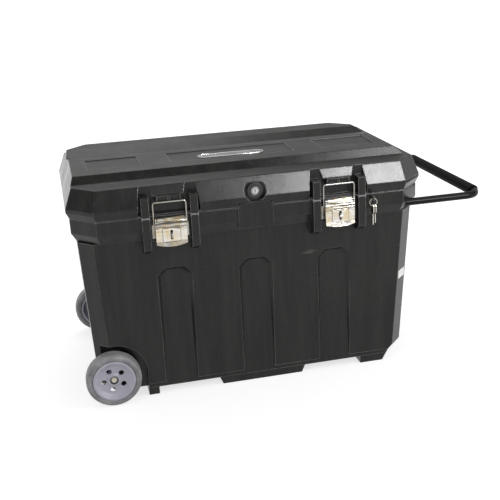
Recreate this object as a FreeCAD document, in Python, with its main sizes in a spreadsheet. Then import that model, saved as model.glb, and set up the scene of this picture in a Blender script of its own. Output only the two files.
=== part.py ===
"""Wheeled jobsite storage box: tub, hinged lid, two toggle latches, key lock, pull handle and tray.

Frame: +X runs along the box towards the pull handle, -Y is the front with the latches, +Z is up.
The origin is on the floor, in the middle of the centre foot's underside.  Units are millimetres.
"""
import FreeCAD, Part
import math
import os
import re
import Sketcher
from FreeCAD import Placement, Rotation, Vector

DOC = FreeCAD.newDocument("jobsite_storage_box")
SHEET = DOC.addObject("Spreadsheet::Sheet", "Dims")

# ---------------------------------------------------------------------------------------------
# Driving sizes: every one is a cell of the sheet
# ---------------------------------------------------------------------------------------------
SIZES = {
    # whole box
    "lid_length": 940,  # over the lid's skirt
    "lid_width": 580,
    "lid_height": 96,  # above the seam
    "seam_height": 502,  # top of the tub's rim
    "wall": 4,
    # lid
    "seam_gap": 0.5,
    "lip_inset": 8,  # the lip stands back from the skirt
    "lip_width": 12,
    "lip_depth": 6,
    "skirt_flare": 19,  # the ledge stands back from the skirt
    "skirt_band": 9,
    "slope_height": 51,
    "ledge_cut": 54,  # corner cut of the ledge
    "raise_height": 19,  # raised panels above the ledge
    "raise_run": 23,
    "front_ledge": 96,  # from the ledge's edge to the raised panels
    "right_ledge": 36,
    "rear_ledge": 50,
    "rear_panel_cut": 55,
    "groove_near": 20,
    "groove_low": 108,
    "groove_far": 143,
    "groove_depth": 15,
    "recess_depth": 2.5,
    "recess_front": 118,
    "recess_back": 4,
    "left_recess_edge": 48,
    "left_recess_length": 138,
    "middle_recess_length": 336,
    "right_recess_edge": 29,
    "right_recess_length": 153,
    "edge_round": 2.5,
    "seal_inset": 7.2,
    "seal_width": 3.2,
    "seal_depth": 3,
    "seal_wall": 1.2,  # left of the lip outside the seal's groove, behind the tongue
    # tub
    "band_height": 63,
    "band_chamfer": 25,
    "band_taper": 14,
    "end_inset": 22.5,  # from the lid's end in to the tub's, under the band
    "tub_shift": -1.5,  # the ends are not quite alike: the wheel end leans less
    "side_inset": 32,
    "tub_corner": 36,
    "end_lean": 23,  # how far each end leans out on its way up
    "floor_shift": -5.5,
    "side_lean": 8,
    "apron_height": 47,
    "base_inset": 23,
    "base_step": 34,
    "base_height": 21,
    "panel_depth": 5,  # at the floor: the panels are upright, the walls lean out
    "panel_width": 93,
    "panel_draft": 1.05,  # run of the panels' sides for each unit of depth
    "panel_reach": 17,
    "panel_pitch": 214,
    "panel_top": 355,
    "panel_corner": 20,
    "shelf_drop": 28,
    "shelf_width": 22,
    "shelf_rise": 30,  # slanted underside of the shelves
    "bay_width": 94,  # raised bay in the band under the lock
    "bay_stand": 4,
    "tongue_height": 13,
    "tongue_slant": 8,
    "tongue_gap": 1,
    # feet
    "foot_length": 222,
    "foot_middle": 9,  # the middle foot stands a little towards the handle's end
    "foot_flare": 10,
    "foot_inset": 6.5,
    "end_foot_inset": 179,  # from the lid's end
    "end_foot_length": 65,
    "axle_foot_length": 28,
    # wheels
    "axle_inset": 76,  # from the lid's end
    "wheel_radius": 72,
    "wheel_width": 42,
    "wheel_inset": 9.5,  # from the lid's side in to the wheel's outer face
    "tyre_thick": 17,
    "hub_radius": 15,
    "web_hole_radius": 7,
    "web_hole_turn": 11,
    "web_thick": 5,
    "dish_depth": 8,
    "web_hole_circle": 27,
    "web_holes": 5,
    "axle_radius": 6,
    "well_clearance": 10,
    "well_offset": 8,  # the arch stands off the axle towards the middle
    "well_rise": 3,
    "well_gap": 9,
    "channel_width": 34,
    "cap_radius": 9,
    "cap_height": 9,
    # pull handle
    "tube_radius": 10,
    "tube_wall": 1.8,
    "handle_inset": 19,  # from the mouth's side to the arm's axis
    "handle_drop": 45,  # below the seam
    "handle_stand": 170,  # crossbar's axis beyond the lid, pulled out
    "handle_bend": 42,
    "handle_travel": 155,
    "grip_radius": 15,
    "bush_length": 20,
    "bush_inset": 75,
    "tunnel_gap": 3,
    "tunnel_spare": 15,
    "arm_inside": 205,  # of the arm, behind its bush, pulled out
    "stop_length": 14,
    # hinges
    "hinge_stand": 10,
    "hinge_pitch": 300,
    "knuckle_radius": 9,
    "knuckle_length": 28,
    "hinge_pin_radius": 4,
    # latches
    "latch_x": 220,
    "rib_offset": 61,
    "rib_width": 20,
    "rib_stand": 8,
    "rib_drop": 95,
    "pocket_top": 140,  # widths of the pocket at the ledge and at the skirt
    "pocket_low": 156,
    "pocket_depth": 21,
    "brow_top": 92,  # wedge of lid left above each latch
    "brow_low": 78,
    "brow_height": 25,
    "keeper_width": 62,
    "keeper_height": 18,
    "keeper_gap": 0.6,
    "lever_width": 78,
    "lever_drop": 68,
    "lip_bow": 6,
    "sheet_metal": 2,
    "curl_radius": 7.5,
    "pivot_stand": 10.5,  # in front of the band
    "pivot_drop": 7,
    "pivot_radius": 2,
    "link_back": 1.5,
    "link_drop": 12,
    "wire_radius": 2,
    "bail_seat": 3,  # the crossbar's axis above the keeper's lower edge
    "base_width": 92,
    "base_drop": 49,
    "ear_inset": 5,  # from the lever's side to the ear
    "ear_gap": 0.5,
    "ear_radius": 4.4,
    "staple_drop": 38,
    "staple_stand": 22,
    "eye_radius": 4,
    # lock
    "lock_drop": 37,  # below the ledge
    "lock_recess": 28,
    "bezel_radius": 21,
    "barrel_radius": 11,
    "plug_radius": 7,
    "cam_reach": 42,
    "cam_width": 14,
    "strike_x": 25,
    "strike_width": 20,
    # keys
    "key_x": 313,
    "key_eye_stand": 12,
    "key_eye_drop": 11,
    "ring_radius": 10,
    "ring_wire": 0.9,
    "key_length": 50,
    "key_bow": 10,
    "key_thick": 2,
    # tray
    "tray_end_gap": 10,
    "tray_length": 410,
    "tray_depth": 96,
    "tray_divider": 254,  # from the tray's end to the divider
    "tray_wall": 2.5,
    "bin_corner": 20,
    "tray_corner": 46,
    "tray_handle_drop": 11,
    "tray_handle_reach": 78,
    "tray_handle_width": 16,
    "tray_handle_thick": 6,
    # badge and label
    "badge_length": 176,
    "badge_width": 62,
    "badge_thick": 2,
    "badge_x": -16,
    "label_width": 40,
    "label_height": 24,
    "label_z": 251,
    # clearances
    "running_gap": 0.06,
    "slide_gap": 0.3,
    "fit_gap": 0.1,
}

# Sizes that follow from the ones above, as formulas of the sheet's cells
FORMULAS = {
    "box_height": "seam_height + lid_height",
    "tub_length": "lid_length - 2 * end_inset",
    "tub_width": "lid_width - 2 * side_inset",
    "floor_length": "tub_length - 2 * end_lean",
    "floor_width": "tub_width - 2 * side_lean",
    "base_length": "floor_length - 2 * base_inset",
    "foot_width": "floor_width - 2 * foot_inset",
    "skirt_x": "lid_length / 2",
    "skirt_y": "lid_width / 2",
    "lip_x": "skirt_x - lip_inset",
    "lip_y": "skirt_y - lip_inset",
    "mouth_x": "lip_x - lip_width",
    "mouth_y": "lip_y - lip_width",
    "ledge_x": "skirt_x - skirt_flare",
    "ledge_y": "skirt_y - skirt_flare",
    "cut_growth": "(2 - sqrt(2))",
    "skirt_cut": "ledge_cut + skirt_flare * cut_growth",
    "lip_cut": "skirt_cut - lip_inset * cut_growth",
    "mouth_cut": "lip_cut - lip_width * cut_growth",
    "ledge_z": "box_height - raise_height",
    "skirt_top": "ledge_z - slope_height",
    "skirt_low": "skirt_top - skirt_band",
    "lid_low": "seam_height + seam_gap",
    "slope_inset": "raise_height * skirt_flare / slope_height",
    "panel_front": "ledge_y - front_ledge",
    "panel_right": "ledge_x - right_ledge",
    "rear_panel_back": "ledge_y - rear_ledge",
    "lock_z": "ledge_z - lock_drop",
    "shelf_height": "seam_height - shelf_drop",
    "band_low": "seam_height - band_height",
    "band_knee": "band_low + band_chamfer",
    "inner_top_x": "tub_length / 2 - wall",
    "inner_top_y": "tub_width / 2 - wall",
    "inner_low_x": "floor_length / 2 - wall",
    "inner_low_y": "floor_width / 2 - wall",
    "panel_y": "floor_width / 2 - panel_depth",
    "panel_high_depth": (
        "(floor_width / 2 + (tub_width - floor_width) / 2"
        " * (panel_top - apron_height) / (band_low - apron_height) - panel_y)"
    ),
    "floor_z": "base_height + wall",
    "notch_back": "lip_y - seal_inset + slide_gap + seal_wall",
    "tongue_back": "notch_back + tongue_gap",
    "end_foot_start": "skirt_x - end_foot_inset",
    "axle_x": "skirt_x - axle_inset",
    "axle_z": "wheel_radius",
    "wheel_track": "lid_width - 2 * wheel_inset",
    "rim_radius": "wheel_radius - tyre_thick",
    "well_radius": "wheel_radius + well_clearance",
    "well_x": "-axle_x + well_offset",
    "well_z": "axle_z + well_rise",
    "well_wall": "wheel_track / 2 - wheel_width - well_gap",
    "handle_y": "mouth_y - handle_inset",
    "handle_z": "seam_height - handle_drop",
    "handle_reach": "skirt_x + handle_stand",
    "bush_start": "skirt_x - bush_inset",
    "arm_start": "bush_start - arm_inside",
    "tunnel_radius": "tube_radius + tunnel_gap",
    "tunnel_start": "arm_start - handle_travel - tunnel_spare",
    "hinge_y": "skirt_y + hinge_stand",
    "rib_face": "skirt_y + rib_stand",
    "rib_top": "ledge_z - brow_height - 1",
    "rib_low": "seam_height - rib_drop",
    "pocket_face": "skirt_y - pocket_depth",
    "pivot_y": "lip_y + pivot_stand",
    "pivot_z": "seam_height - pivot_drop",
    "link_y": "pivot_y - link_back",
    "link_z": "pivot_z - link_drop",
    "bail_z": "ledge_z - brow_height - keeper_height + bail_seat",
    "bail_half": "lever_width / 2 + slide_gap + wire_radius + 0.2",
    "keeper_face": "link_y - wire_radius - keeper_gap",
    "lever_face": "pivot_y + curl_radius",
    "base_back": "lip_y",
    "base_face": "lip_y + sheet_metal",
    "staple_z": "pivot_z - staple_drop",
    "staple_face": "base_face + staple_stand",
    "recess_floor": "ledge_y + 6",
    "key_eye_y": "lip_y + key_eye_stand",
    "key_eye_z": "seam_height - key_eye_drop",
    "tray_start": "-mouth_x + tray_end_gap",
    "tray_rim_z": "shelf_height + slide_gap",
    "tray_half": "mouth_y - 2",
    "bin_half": "handle_y - tunnel_radius - wall - 3",
    "bin_low": "tray_rim_z - tray_depth",
    "tray_handle_z": "tray_rim_z - tray_handle_drop",
}

WORD = re.compile(r"[A-Za-z_]\w*")
PARTS = {}


def fill_sheet():
    """Write each size into the sheet as a plain number with its name as alias."""
    for row, (name, value) in enumerate(SIZES.items(), start=1):
        SHEET.set(f"A{row}", name.replace("_", " "))
        SHEET.set(f"B{row}", str(value))
        SHEET.setAlias(f"B{row}", name)
    DOC.recompute()


def cells(formula):
    """Spell a formula of size names as an expression on the sheet's cells."""

    def spell(match):
        word = match.group(0)
        if word in FORMULAS:
            return f"({cells(FORMULAS[word])})"
        return f"Dims.{word}" if word in SIZES else word

    return WORD.sub(spell, str(formula))


def size(formula):
    """The value of a formula of size names."""
    return float(SHEET.evalExpression(cells(formula)))


def bind(thing, **formulas):
    """Bind properties to formulas."""
    for prop, formula in formulas.items():
        thing.setExpression(prop, cells(formula))
    return thing


def place(thing, x, y, z):
    """Bind the object's position to three formulas."""
    for axis, formula in zip("xyz", (x, y, z)):
        thing.setExpression(f"Placement.Base.{axis}", cells(formula))
    return thing


# ---------------------------------------------------------------------------------------------
# Primitives, outlines and booleans, all bound to formulas
# ---------------------------------------------------------------------------------------------
ALONG = {
    "x": Rotation(Vector(0, 1, 0), 90),
    "y": Rotation(Vector(1, 0, 0), -90),
    "z": Rotation(),
}
PLANE = {
    "xy": Rotation(),
    "xz": Rotation(Vector(1, 0, 0), 90),
    "yz": Rotation(Vector(1, 1, 1), 120),
}
NORMAL = {"xy": "z", "xz": "y", "yz": "x"}
UNIT = {"x": Vector(1, 0, 0), "y": Vector(0, 1, 0), "z": Vector(0, 0, 1)}


def box(name, x, y, z):
    """A block between two formulas along each axis."""
    block = DOC.addObject("Part::Box", name)
    bind(
        block,
        Length=f"({x[1]}) - ({x[0]})",
        Width=f"({y[1]}) - ({y[0]})",
        Height=f"({z[1]}) - ({z[0]})",
    )
    return place(block, x[0], y[0], z[0])


def start_at(axis, centre, start):
    """Three coordinates from a centre in the cross plane and a start along the axis."""
    spot = list(centre)
    spot.insert("xyz".index(axis), start)
    return spot


def rod(name, axis, centre, radius, span):
    """A cylinder along an axis, between two formulas."""
    part = DOC.addObject("Part::Cylinder", name)
    part.Placement = Placement(Vector(), ALONG[axis])
    bind(part, Radius=radius, Height=f"({span[1]}) - ({span[0]})")
    return place(part, *start_at(axis, centre, span[0]))


def tube(name, axis, centre, outer, inner, span):
    """A plain tube: one cylinder cut by another that runs past both ends."""
    body = rod(name + "_outer", axis, centre, outer, span)
    hole = rod(name + "_hole", axis, centre, inner, (f"({span[0]}) - 1", f"({span[1]}) + 1"))
    return cut(name, body, hole)


def draw_polygon(sketch, points):
    """Put a closed polygon into a sketch, each corner held by two bound distances."""
    count = len(points)
    reach = 100.0
    turn = 2 * math.pi / count
    spots = [Vector(reach * math.cos(turn * i), reach * math.sin(turn * i), 0) for i in range(count)]
    for i in range(count):
        sketch.addGeometry(Part.LineSegment(spots[i], spots[(i + 1) % count]))
    for i in range(count):
        sketch.addConstraint(Sketcher.Constraint("Coincident", i, 2, (i + 1) % count, 1))
    for i, (across, up) in enumerate(points):
        for kind, formula, value in (("X", across, spots[i].x), ("Y", up, spots[i].y)):
            index = sketch.addConstraint(Sketcher.Constraint("Distance" + kind, -1, 1, i, 1, value))
            sketch.setExpression(f"Constraints[{index}]", cells(formula))


def draw_circle(sketch, centre, radius):
    """Put a circle into a sketch, its centre and radius bound."""
    circle = sketch.addGeometry(Part.Circle(Vector(5, 5, 0), Vector(0, 0, 1), 5))
    for kind, formula in zip("XY", centre):
        index = sketch.addConstraint(Sketcher.Constraint("Distance" + kind, -1, 1, circle, 3, 5))
        sketch.setExpression(f"Constraints[{index}]", cells(formula))
    index = sketch.addConstraint(Sketcher.Constraint("Radius", circle, 5))
    sketch.setExpression(f"Constraints[{index}]", cells(radius))


def outline(name, plane, points, offset="0"):
    """A free sketch with one polygon, in a plane moved along its axis."""
    sketch = DOC.addObject("Sketcher::SketchObject", name)
    sketch.Placement = Placement(Vector(), PLANE[plane])
    draw_polygon(sketch, points)
    bind(sketch, **{f"Placement.Base.{NORMAL[plane]}": offset})
    return sketch


def prism(name, plane, points, span):
    """A polygon pushed from one formula to another along the plane's axis."""
    part = DOC.addObject("Part::Extrusion", name)
    part.Base = outline(name + "_outline", plane, points, span[0])
    part.DirMode = "Custom"
    part.Dir = UNIT[NORMAL[plane]]
    part.Solid = True
    return bind(part, LengthFwd=f"({span[1]}) - ({span[0]})")


def octagon(half_x, half_y, cut_size, shift="0"):
    """Corners of a rectangle with its four corners cut at 45 degrees, moved along X by a shift."""
    corners = []
    for sx, sy in ((1, 1), (-1, 1), (-1, -1), (1, -1)):
        on_end = (f"{shift} + {sx} * ({half_x})", f"{sy} * (({half_y}) - ({cut_size}))")
        on_side = (f"{shift} + {sx} * (({half_x}) - ({cut_size}))", f"{sy} * ({half_y})")
        corners += [on_end, on_side] if sx * sy > 0 else [on_side, on_end]
    return corners


def loft(name, levels):
    """Straight walls through horizontal outlines, each given as (corners, height)."""
    part = DOC.addObject("Part::Loft", name)
    part.Sections = [
        outline(f"{name}_level_{i}", "xy", corners, height)
        for i, (corners, height) in enumerate(levels)
    ]
    part.Solid = True
    part.Ruled = True
    return part


def fuse(name, shapes):
    """Join shapes."""
    part = DOC.addObject("Part::MultiFuse", name)
    part.Shapes = shapes
    part.Refine = True
    return part


def cut(name, base, *tools):
    """Take one or more tools away from a base."""
    part = DOC.addObject("Part::Cut", name)
    part.Base = base
    part.Tool = tools[0] if len(tools) == 1 else fuse(name + "_tools", list(tools))
    part.Refine = True
    return part


def rounded(name, base, radius, wanted):
    """Round the edges that a test on the edge picks."""
    DOC.recompute()
    part = DOC.addObject("Part::Fillet", name)
    part.Base = base
    picked = [i for i, edge in enumerate(base.Shape.Edges, start=1) if wanted(edge)]
    part.Edges = [(i, radius, radius) for i in picked]
    return part


def upright(edge):
    """Whether an edge runs mostly along Z."""
    run = edge.Vertexes[-1].Point - edge.Vertexes[0].Point
    return abs(run.z) > 0.7 * run.Length > 0


def at_height(edge, height):
    """Whether both ends of an edge lie at a height."""
    return all(abs(vertex.Z - height) < 0.01 for vertex in edge.Vertexes)


def keep(node, thing):
    """Name an object as one of the box's pieces."""
    thing.Label = node
    PARTS[node] = thing
    return thing


# ---------------------------------------------------------------------------------------------
# PartDesign bodies
# ---------------------------------------------------------------------------------------------
ROLE = {"xy": "XY_Plane", "xz": "XZ_Plane", "yz": "YZ_Plane"}


def new_body(name):
    """An empty PartDesign body."""
    return DOC.addObject("PartDesign::Body", name)


def body_sketch(body, name, plane, offset="0"):
    """A sketch on one of the body's own origin planes, moved along its normal."""
    sketch = body.newObject("Sketcher::SketchObject", name)
    base = next(f for f in body.Origin.OriginFeatures if f.Role == ROLE[plane])
    sketch.AttachmentSupport = [(base, "")]
    sketch.MapMode = "FlatFace"
    return bind(sketch, **{"AttachmentOffset.Base.z": offset})


def pad(body, name, sketch, length, symmetric=False):
    """Push a sketch along its normal."""
    feature = body.newObject("PartDesign::Pad", name)
    feature.Profile = sketch
    feature.SideType = "Symmetric" if symmetric else "One side"
    return bind(feature, Length=length)


def pocket(body, name, sketch, length, symmetric=False, backwards=False):
    """Cut a sketch into the body."""
    feature = body.newObject("PartDesign::Pocket", name)
    feature.Profile = sketch
    feature.SideType = "Symmetric" if symmetric else "One side"
    feature.Reversed = backwards
    return bind(feature, Length=length)


def spin(body, name, sketch):
    """Turn a sketch a full turn about its own vertical axis."""
    feature = body.newObject("PartDesign::Revolution", name)
    feature.Profile = sketch
    feature.ReferenceAxis = (sketch, ["V_Axis"])
    feature.Angle = 360
    return feature


def body_fillet(body, name, feature, radius, wanted):
    """Round a body's picked edges."""
    DOC.recompute()
    names = [f"Edge{i}" for i, edge in enumerate(feature.Shape.Edges, start=1) if wanted(edge)]
    rounding = body.newObject("PartDesign::Fillet", name)
    rounding.Base = (feature, names)
    return bind(rounding, Radius=radius)


# ---------------------------------------------------------------------------------------------
# Tub
# ---------------------------------------------------------------------------------------------
def tub_walls():
    """The tub's outside: tapered walls, apron and base step, and the band under the lid."""
    walls = loft(
        "tub_walls",
        [
            (octagon("floor_length / 2", "floor_width / 2", "tub_corner", "floor_shift"), "apron_height"),
            (octagon("tub_length / 2", "tub_width / 2", "tub_corner", "tub_shift"), "band_low"),
        ],
    )
    step_x = "base_length / 2 + (floor_length - base_length) / 4"
    apron = loft(
        "tub_apron",
        [
            (octagon(step_x, "floor_width / 2", "tub_corner", "floor_shift"), "base_step"),
            (octagon("floor_length / 2", "floor_width / 2", "tub_corner", "floor_shift"), "apron_height"),
        ],
    )
    base = loft(
        "tub_base",
        [
            (octagon("base_length / 2", "panel_y", "tub_corner", "floor_shift"), "base_height"),
            (octagon(step_x, "panel_y", "tub_corner", "floor_shift"), "base_step"),
        ],
    )
    band_cut = "lip_cut - band_taper * cut_growth"
    band = loft(
        "tub_band",
        [
            (octagon("lip_x - band_taper", "lip_y - band_taper", band_cut), "band_low"),
            (octagon("lip_x", "lip_y", "lip_cut"), "band_knee"),
            (octagon("lip_x", "lip_y", "lip_cut"), "seam_height"),
        ],
    )
    rim_height = size("seam_height")
    band = rounded("tub_band_rim", band, size("edge_round"), lambda edge: at_height(edge, rim_height))
    return [walls, apron, base, band]


def panel_points(column, share):
    """A sunk panel's outline: its mouth at share 0, its floor at share 1, wider still below 0."""
    middle = f"{column} * panel_pitch"
    low = f"(panel_width / 2 - panel_draft * panel_depth * ({share}))"
    high = f"(panel_width / 2 - panel_draft * panel_high_depth * ({share}))"
    top = f"(panel_top - 0.7 * panel_draft * panel_high_depth * ({share}))"
    corner = f"(panel_corner - 0.3 * panel_draft * panel_high_depth * ({share}))"
    return [
        (f"{middle} - {low}", "base_height - 5"),
        (f"{middle} + {low}", "base_height - 5"),
        (f"{middle} + {high}", f"{top} - {corner}"),
        (f"{middle} + {high} - {corner}", top),
        (f"{middle} - {high} + {corner}", top),
        (f"{middle} - {high}", f"{top} - {corner}"),
    ]


def wall_panels():
    """Tall sunk panels with cut top corners and drafted sides, three on the front and on the back."""
    panels = []
    for column in (-1, 0, 1):
        for side in (-1, 1):
            name = f"wall_panel_{column + 2}_{side + 2}"
            floor = outline(name + "_floor", "xz", panel_points(column, "1"), f"{side} * panel_y")
            past = panel_points(column, "1 - panel_reach / panel_high_depth")
            wide = outline(name + "_wide", "xz", past, f"{side} * (panel_y + panel_reach)")
            panel = DOC.addObject("Part::Loft", name)
            panel.Sections = [floor, wide]
            panel.Solid = True
            panel.Ruled = True
            panels.append(panel)
    return panels


def panel_backs():
    """What the sunk panels take from the space inside: their floors and sides, one wall thick."""
    backs = []
    for column in (-1, 0, 1):
        for side in (-1, 1):
            middle = f"{column} * panel_pitch"
            half = "(panel_width / 2 + wall)"
            near, far = f"{side} * (panel_y - wall)", f"{side} * skirt_y"
            backs.append(
                box(
                    f"panel_back_{column + 2}_{side + 2}",
                    (f"{middle} - {half}", f"{middle} + {half}"),
                    (near, far) if side > 0 else (far, near),
                    ("0", "panel_top + wall"),
                )
            )
    return backs


def tub_cavity():
    """The space inside: a tapered hold, and a wider top with a shelf for the tray."""
    top = "mouth_y - shelf_width"
    low_y = "panel_y - wall"
    step_x = "base_length / 2 + (floor_length - base_length) / 4 - 1.5 * wall"
    hold = loft(
        "hold",
        [
            (octagon("base_length / 2 - wall", low_y, "tub_corner", "floor_shift"), "floor_z"),
            (octagon(step_x, low_y, "tub_corner", "floor_shift"), "base_step"),
            (octagon("inner_low_x", "inner_low_y", "tub_corner", "floor_shift"), "apron_height"),
            (octagon("inner_top_x", "inner_top_y", "tub_corner", "tub_shift"), "band_low - shelf_rise"),
        ],
    )
    throat = loft(
        "throat",
        [
            (octagon("inner_top_x", "inner_top_y", "tub_corner", "tub_shift"), "band_low - shelf_rise"),
            (octagon("inner_top_x", top, "tub_corner", "tub_shift"), "band_low"),
            (octagon("inner_top_x", top, "tub_corner", "tub_shift"), "shelf_height"),
        ],
    )
    mouth = loft(
        "mouth",
        [
            (octagon("mouth_x", "mouth_y", "mouth_cut"), "shelf_height"),
            (octagon("mouth_x", "mouth_y", "mouth_cut"), "seam_height + tongue_height + 5"),
        ],
    )
    room = fuse("tub_room", [hold, throat, mouth])
    solids = panel_backs() + [
        box(
            "channel_housing",
            ("-skirt_x", "-axle_x + channel_width / 2 + wall"),
            ("-skirt_y", "skirt_y"),
            ("0", "axle_z + channel_width / 2 + wall"),
        )
    ]
    for side in (-1, 1):
        far = f"{side} * skirt_y"
        near = f"{side} * (well_wall - wall)"
        solids.append(
            box(
                f"well_housing_{side + 2}",
                ("-skirt_x", "well_x + well_radius + wall"),
                (near, far) if side > 0 else (far, near),
                ("0", "well_z + well_radius + wall"),
            )
        )
        housing_far = f"{side} * lip_y"
        housing_near = f"{side} * (handle_y - tunnel_radius - wall)"
        solids.append(
            box(
                f"tunnel_housing_{side + 2}",
                ("tunnel_start - wall", "skirt_x"),
                (housing_near, housing_far) if side > 0 else (housing_far, housing_near),
                ("handle_z - tunnel_radius - wall", "shelf_height"),
            )
        )
    return cut("tub_cavity", room, *solids)


def tub_feet():
    """Skids across the underside: one in the middle, one at the handle end, one by the wheels."""
    low, high = "foot_middle - foot_length / 2", "foot_middle + foot_length / 2"
    middle = [
        (low, "0"),
        (high, "0"),
        (f"{high} + foot_flare", "base_height + 1"),
        (f"{low} - foot_flare", "base_height + 1"),
    ]
    end = "end_foot_start + end_foot_length"
    far = [
        ("end_foot_start", "0"),
        (end, "0"),
        (f"{end} + 2 * foot_flare", "base_step"),
        ("end_foot_start", "base_step"),
    ]
    start = "well_x + well_radius"
    near = [
        (start, "0"),
        (f"{start} + axle_foot_length", "0"),
        (f"{start} + axle_foot_length", "base_step"),
        (start, "base_step"),
    ]
    across = ("-foot_width / 2", "foot_width / 2")
    return [
        prism("centre_foot", "xz", middle, across),
        prism("end_foot", "xz", far, across),
        prism("axle_foot", "xz", near, across),
    ]


def wheel_wells():
    """Arched openings at the left corners, the axle's channel between them and its bearings."""
    cuts = []
    for side in (-1, 1):
        inner = f"{side} * well_wall"
        outer = f"{side} * (skirt_y + 5)"
        span = (inner, outer) if side > 0 else (outer, inner)
        tag = side + 2
        cuts.append(rod(f"well_arch_{tag}", "y", ("well_x", "well_z"), "well_radius", span))
        cuts.append(
            box(f"well_drop_{tag}", ("well_x", "well_x + well_radius"), span, ("-5", "well_z"))
        )
        cuts.append(
            box(f"well_end_{tag}", ("-skirt_x", "well_x"), span, ("-5", "well_z + well_radius"))
        )
    bearing = "well_wall - 2 * wall"
    cuts.append(
        box(
            "axle_channel",
            ("-axle_x - channel_width / 2", "-axle_x + channel_width / 2"),
            (f"-({bearing})", bearing),
            ("-5", "axle_z + channel_width / 2"),
        )
    )
    cuts.append(
        rod("axle_holes", "y", ("-axle_x", "axle_z"), "axle_radius + running_gap", ("-skirt_y", "skirt_y"))
    )
    return cuts


def latch_side(side, x):
    """X of a spot at distance x outward from the latch on one side."""
    return f"{side} * latch_x + ({x})"


def tub_latch_ribs(side):
    """The two ribs and the flat pad of the band that carry a latch."""
    tag = "left" if side < 0 else "right"
    profile = [
        ("-tub_width / 2 - 3", "rib_low - 4"),
        ("-mouth_y - 8", "rib_low"),
        ("-rib_face + 4", "rib_low + 10"),
        ("-rib_face", "rib_low + 18"),
        ("-rib_face", "seam_height"),
        ("-mouth_y", "seam_height"),
        ("-mouth_y", "band_knee"),
        ("-tub_width / 2 + 3", "band_low"),
        ("-tub_width / 2 + 3", "rib_low - 4"),
    ]
    shapes = []
    for hand in (-1, 1):
        start = latch_side(side, f"{hand} * rib_offset - rib_width / 2")
        shapes.append(
            prism(f"rib_{tag}_{hand + 2}", "yz", profile, (start, f"{start} + rib_width"))
        )
    shapes.append(
        box(
            f"latch_pad_{tag}",
            (latch_side(side, "-rib_offset"), latch_side(side, "rib_offset")),
            ("-lip_y", "-mouth_y"),
            ("pivot_z - base_drop - 8", "seam_height - edge_round"),
        )
    )
    return shapes


def tub_bay():
    """The raised bay in the middle of the band, and the tongue that rises beside the lock."""
    tongue = [
        ("-bay_width / 2", "band_low + 6"),
        ("bay_width / 2", "band_low + 6"),
        ("bay_width / 2", "seam_height"),
        ("bay_width / 2 - tongue_slant", "seam_height + tongue_height"),
        ("-bay_width / 2 + tongue_slant", "seam_height + tongue_height"),
        ("-bay_width / 2", "seam_height"),
    ]
    bay = prism("bay_outer", "xz", tongue, ("-lip_y - bay_stand", "-tongue_back"))
    face = -size("lip_y + bay_stand")
    return rounded("bay", bay, 2, lambda edge: all(abs(v.Y - face) < 0.01 for v in edge.Vertexes))


def hinge_lugs(part, low, high):
    """Knuckles at three stations along the back: two per station on the tub, one on the lid."""
    lugs = []
    spots = (-1, 1) if part == "tub" else (0,)
    for station in (-1, 0, 1):
        for spot in spots:
            tag = f"{part}_lug_{station + 2}_{spot + 2}"
            middle = f"{station} * hinge_pitch + {spot} * (knuckle_length + 1)"
            span = (f"{middle} - knuckle_length / 2", f"{middle} + knuckle_length / 2")
            knuckle = rod(f"{tag}_round", "x", ("hinge_y", "seam_height"), "knuckle_radius", span)
            web = prism(
                f"{tag}_web",
                "yz",
                [
                    ("mouth_y + 2", low[0]),
                    ("hinge_y", low[1]),
                    ("hinge_y", high[1]),
                    ("mouth_y + 2", high[0]),
                ],
                span,
            )
            lugs += [knuckle, web]
    return lugs


def pin_holes(name):
    """One bore through all the knuckles of the back."""
    reach = "hinge_pitch + 2 * knuckle_length"
    radius = "hinge_pin_radius + running_gap"
    return rod(name, "x", ("hinge_y", "seam_height"), radius, (f"-({reach})", reach))


def handle_tunnels(name, radius, start):
    """Bores along the rim for the pull handle's two arms."""
    return [
        rod(f"{name}_{side + 2}", "x", (f"{side} * handle_y", "handle_z"), radius, (start, "skirt_x + 20"))
        for side in (-1, 1)
    ]


def build_tub():
    """The tub: one moulded shell with its feet, wells, ribs, knuckles and handle tunnels."""
    outside = fuse("tub_outside", tub_walls())
    panelled = cut("tub_panelled", outside, *wall_panels())
    footed = fuse("tub_footed", [panelled] + tub_feet())
    hollow = cut("tub_hollow", footed, tub_cavity())
    lugs = hinge_lugs("tub", ("band_knee", "seam_height - knuckle_radius"), ("seam_height - 2", "seam_height - 2"))
    extras = tub_latch_ribs(-1) + tub_latch_ribs(1) + [tub_bay(), key_eye()] + lugs
    full = fuse("tub_full", [hollow] + extras)
    holes = wheel_wells() + handle_tunnels("arm_tunnel", "tunnel_radius", "tunnel_start")
    holes.append(pin_holes("tub_pin_holes"))
    screw_spot = ("strike_x + strike_width / 2", "seam_height - 13")
    holes.append(rod("strike_screw_hole", "y", screw_spot, "2", ("-mouth_y - 7.5", "-mouth_y + 5")))
    keep("tub", cut("tub_shell", full, *holes))


def key_eye():
    """A small moulded eye on the band that carries the key ring."""
    lug = box("key_lug", ("key_x - 1.5", "key_x + 1.5"), ("-key_eye_y - 6", "-lip_y + 1"), ("key_eye_z - 6", "key_eye_z + 6"))
    hole = rod("key_lug_hole", "x", ("-key_eye_y", "key_eye_z"), "ring_wire + 1.6", ("key_x - 5", "key_x + 5"))
    return cut("key_eye", lug, hole)


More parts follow.
